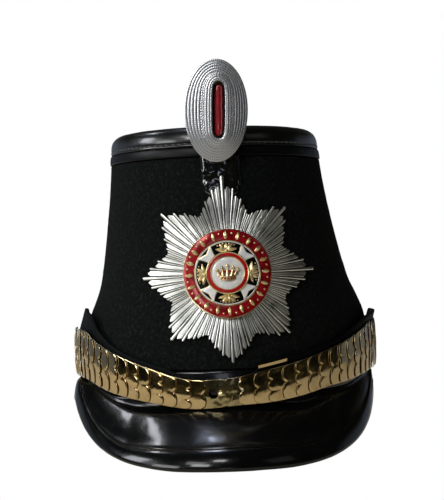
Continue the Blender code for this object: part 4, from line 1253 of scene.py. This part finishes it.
pocket = {
    "columns": ("height", "half", "face"),
    "rows": ((146.0, 4.6, 1.5), (147.8, 7.6, 1.8), (150.0, 9.4, 1.85), (155.0, 10.7, 2.2), (161.0, 11.0, 3.2),
             (169.3, 11.2, 3.45)),
    "edge": 0.9, "creases": ((4.6, 0.9), (9.0, 0.6)), "thick": 1.0,
    "stitch": (0.3, 0.35, 1.1), "stitchGap": 3.2, "stitchFrom": 151.0, "stitchTo": 168.0, "stitchIn": 1.3,
    "stitchOut": 1.0,
}


def makePocket():
    def pocketRow(column, height):
        return readRow(pocket["rows"], pocket["columns"], column, height)

    def pocketAt(u, v):
        side, height = 2 * u - 1, between(pocket["rows"][0][0], pocket["rows"][-1][0], v)
        out = between(pocket["edge"], pocketRow("face", height), min(1.0, (1 - abs(side)) / 0.22) ** 0.6)
        return onFront(side * pocketRow("half", height), height, out)

    piece = sheetOn("cockadePocket", 44, 44, pocketAt)
    for crease in pocket["creases"]:
        lump(piece, *crease)
    thicken(piece, pocket["thick"])
    mount(piece, "patent", "patent_leather", "cockade_pocket", degrees=60)

    places = []
    for side in (-1, 1):
        height = pocket["stitchFrom"]
        while height < pocket["stitchTo"]:
            across = side * (pocketRow("half", height) - pocket["stitchIn"])
            places.append(Matrix.Translation(onFront(across, height, pocket["edge"] + pocket["stitchOut"])))
            height += pocket["stitchGap"]
    sew("pocketThread", pocket["stitch"], places, "patent_leather")


makeCockade()
makePocket()
print("cockade made")

# the cockade's plate keeps its CAD shape
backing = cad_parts["cockade_plate"]
backing.data.materials.clear()
giveStuffs(backing, "blackCloth")


studio = {
    "floor": "#dccfb2", "floorGlow": 0.12, "floorSize": 0.7, "floorBack": 0.34, "floorDrop": 0.0006,
    "aim": (0.0, 0.0, 0.1),
    # place, size, power, colour
    "lights": {
        "starSoftbox": ((-1.26, -0.6, 0.4), (0.58, 0.34), 4.4, "#ffffff"),
        "starHighSoftbox": ((-0.8, -0.94, 0.94), (0.44, 0.3), 2.2, "#ffffff"),
        "cockadeSoftbox": ((-0.72, -1.12, 0.72), (0.4, 0.24), 4.2, "#ffffff"),
        "starSideSoftbox": ((-1.34, -0.1, 0.6), (0.5, 0.4), 0.9, "#ffffff"),
        "frontCard": ((-0.16, -1.27, 0.21), (0.24, 0.12), 0.3, "#e8eeff"),
        "highWindow": ((-0.3, -1.08, 1.2), (0.28, 0.22), 3.0, "#ffffff"),
        "sideSoftbox": ((-1.5, 0.1, 0.7), (0.4, 0.5), 6.2, "#f4f7ff"),
        "rightFill": ((1.0, -0.75, 0.8), (0.6, 0.4), 0.2, "#ffffff"),
        "topWindow": ((-0.17, 0.26, 1.4), (0.24, 0.2), 4.8, "#dce6ff"),
        "streakWindow": ((-0.64, 0.44, 1.03), (0.22, 0.08), 0.8, "#f4f7ff"),
    },
    # what the gloss reflects: a dark, mottled room in front and a pale backdrop behind
    "room": ((0.4, "#101214"), (0.52, "#1e1f19"), (0.62, "#47422f"), (0.72, "#1b1c1e")),
    "backdrop": "#6c7480",
}


def makeFloor():
    # pale paper, lit through from below as on a light table
    clearPick()
    bpy.ops.mesh.primitive_circle_add(vertices=96, radius=studio["floorSize"], fill_type="NGON",
                                      location=(0, studio["floorBack"], -studio["floorDrop"]))
    floor = newest("studioFloor")
    paper = newStuff("floorPaper", Base_Color=hexColour(studio["floor"]), Roughness=1.0,
                     Specular_IOR_Level=0.1, Emission_Color=(1.0, 1.0, 1.0, 1.0),
                     Emission_Strength=studio["floorGlow"])[0]
    floor.data.materials.append(paper)
    # the camera looks past the paper at the white room; light and reflections still meet it
    floor.visible_camera = False


def makeLights():
    for name, (where, size, power, colour) in studio["lights"].items():
        lamp = bpy.data.lights.new(name, "AREA")
        lamp.shape, lamp.size, lamp.size_y = "RECTANGLE", size[0], size[1]
        lamp.energy, lamp.color = power, hexColour(colour)[:3]
        holder = bpy.data.objects.new(name, lamp)
        holder.location = where
        holder.rotation_euler = (Vector(studio["aim"]) - Vector(where)).to_track_quat("-Z", "Y").to_euler()
        bpy.context.collection.objects.link(holder)


def makeRoom():
    # a white room behind the hat, and a darker one for what its gloss reflects
    world = bpy.data.worlds.new("studioRoom")
    bpy.context.scene.world = world
    world.use_nodes = True
    tree = world.node_tree
    tree.nodes.clear()
    ahead = addNode(tree, "TexCoord").outputs["Generated"]
    way = addNode(tree, "SeparateXYZ", {"Vector": ahead})
    mottle = addNode(tree, "TexNoise", {"Vector": ahead, "Scale": 8.0, "Detail": 2.0})
    room = addNode(tree, "ValToRGB", {"Fac": mottle}, studio["room"])
    behind = addNode(tree, "ValToRGB", {"Fac": way.outputs["Y"]}, ((0.3, "#000000"), (0.42, "#ffffff")))
    low = addNode(tree, "ValToRGB", {"Fac": way.outputs["Z"]},
                  ((0.0, "#ffffff"), (0.16, "#ffffff"), (0.3, "#101010")))
    share = addNode(tree, "Math", {0: behind, 1: low}, operation="MULTIPLY")
    mixed = addNode(tree, "Mix", {0: share, 6: room, 7: hexColour(studio["backdrop"])}, data_type="RGBA")
    dark = addNode(tree, "Background", {"Color": mixed.outputs[2], "Strength": 1.0})
    white = addNode(tree, "Background", {"Color": (1.0, 1.0, 1.0, 1.0), "Strength": 1.0})
    seen = addNode(tree, "LightPath").outputs["Is Camera Ray"]
    addNode(tree, "OutputWorld", {"Surface": addNode(tree, "MixShader", {0: seen, 1: dark, 2: white})})


view = {"aim": (0.0, 0.011, 0.1167), "distance": 1.0, "azimuth": 2.0, "roll": -2.0, "lens": 116.64}


def makeCamera():
    lens = bpy.data.cameras.new("photoCamera")
    lens.lens, lens.sensor_width, lens.sensor_fit = view["lens"], 36.0, "AUTO"
    camera = bpy.data.objects.new("photoCamera", lens)
    turn, roll = math.radians(view["azimuth"]), math.radians(view["roll"])
    ahead = Vector((math.sin(turn), math.cos(turn), 0.0))
    camera.location = Vector(view["aim"]) - ahead * view["distance"]
    camera.rotation_mode = "QUATERNION"
    tilt = Matrix.Rotation(roll, 3, "Z").to_quaternion()
    camera.rotation_quaternion = ahead.to_track_quat("-Z", "Y") @ tilt
    bpy.context.collection.objects.link(camera)
    bpy.context.scene.camera = camera
    bpy.context.scene.view_settings.view_transform = "Standard"


makeFloor()
makeLights()
makeRoom()
makeCamera()
print("studio made")

clearPick()
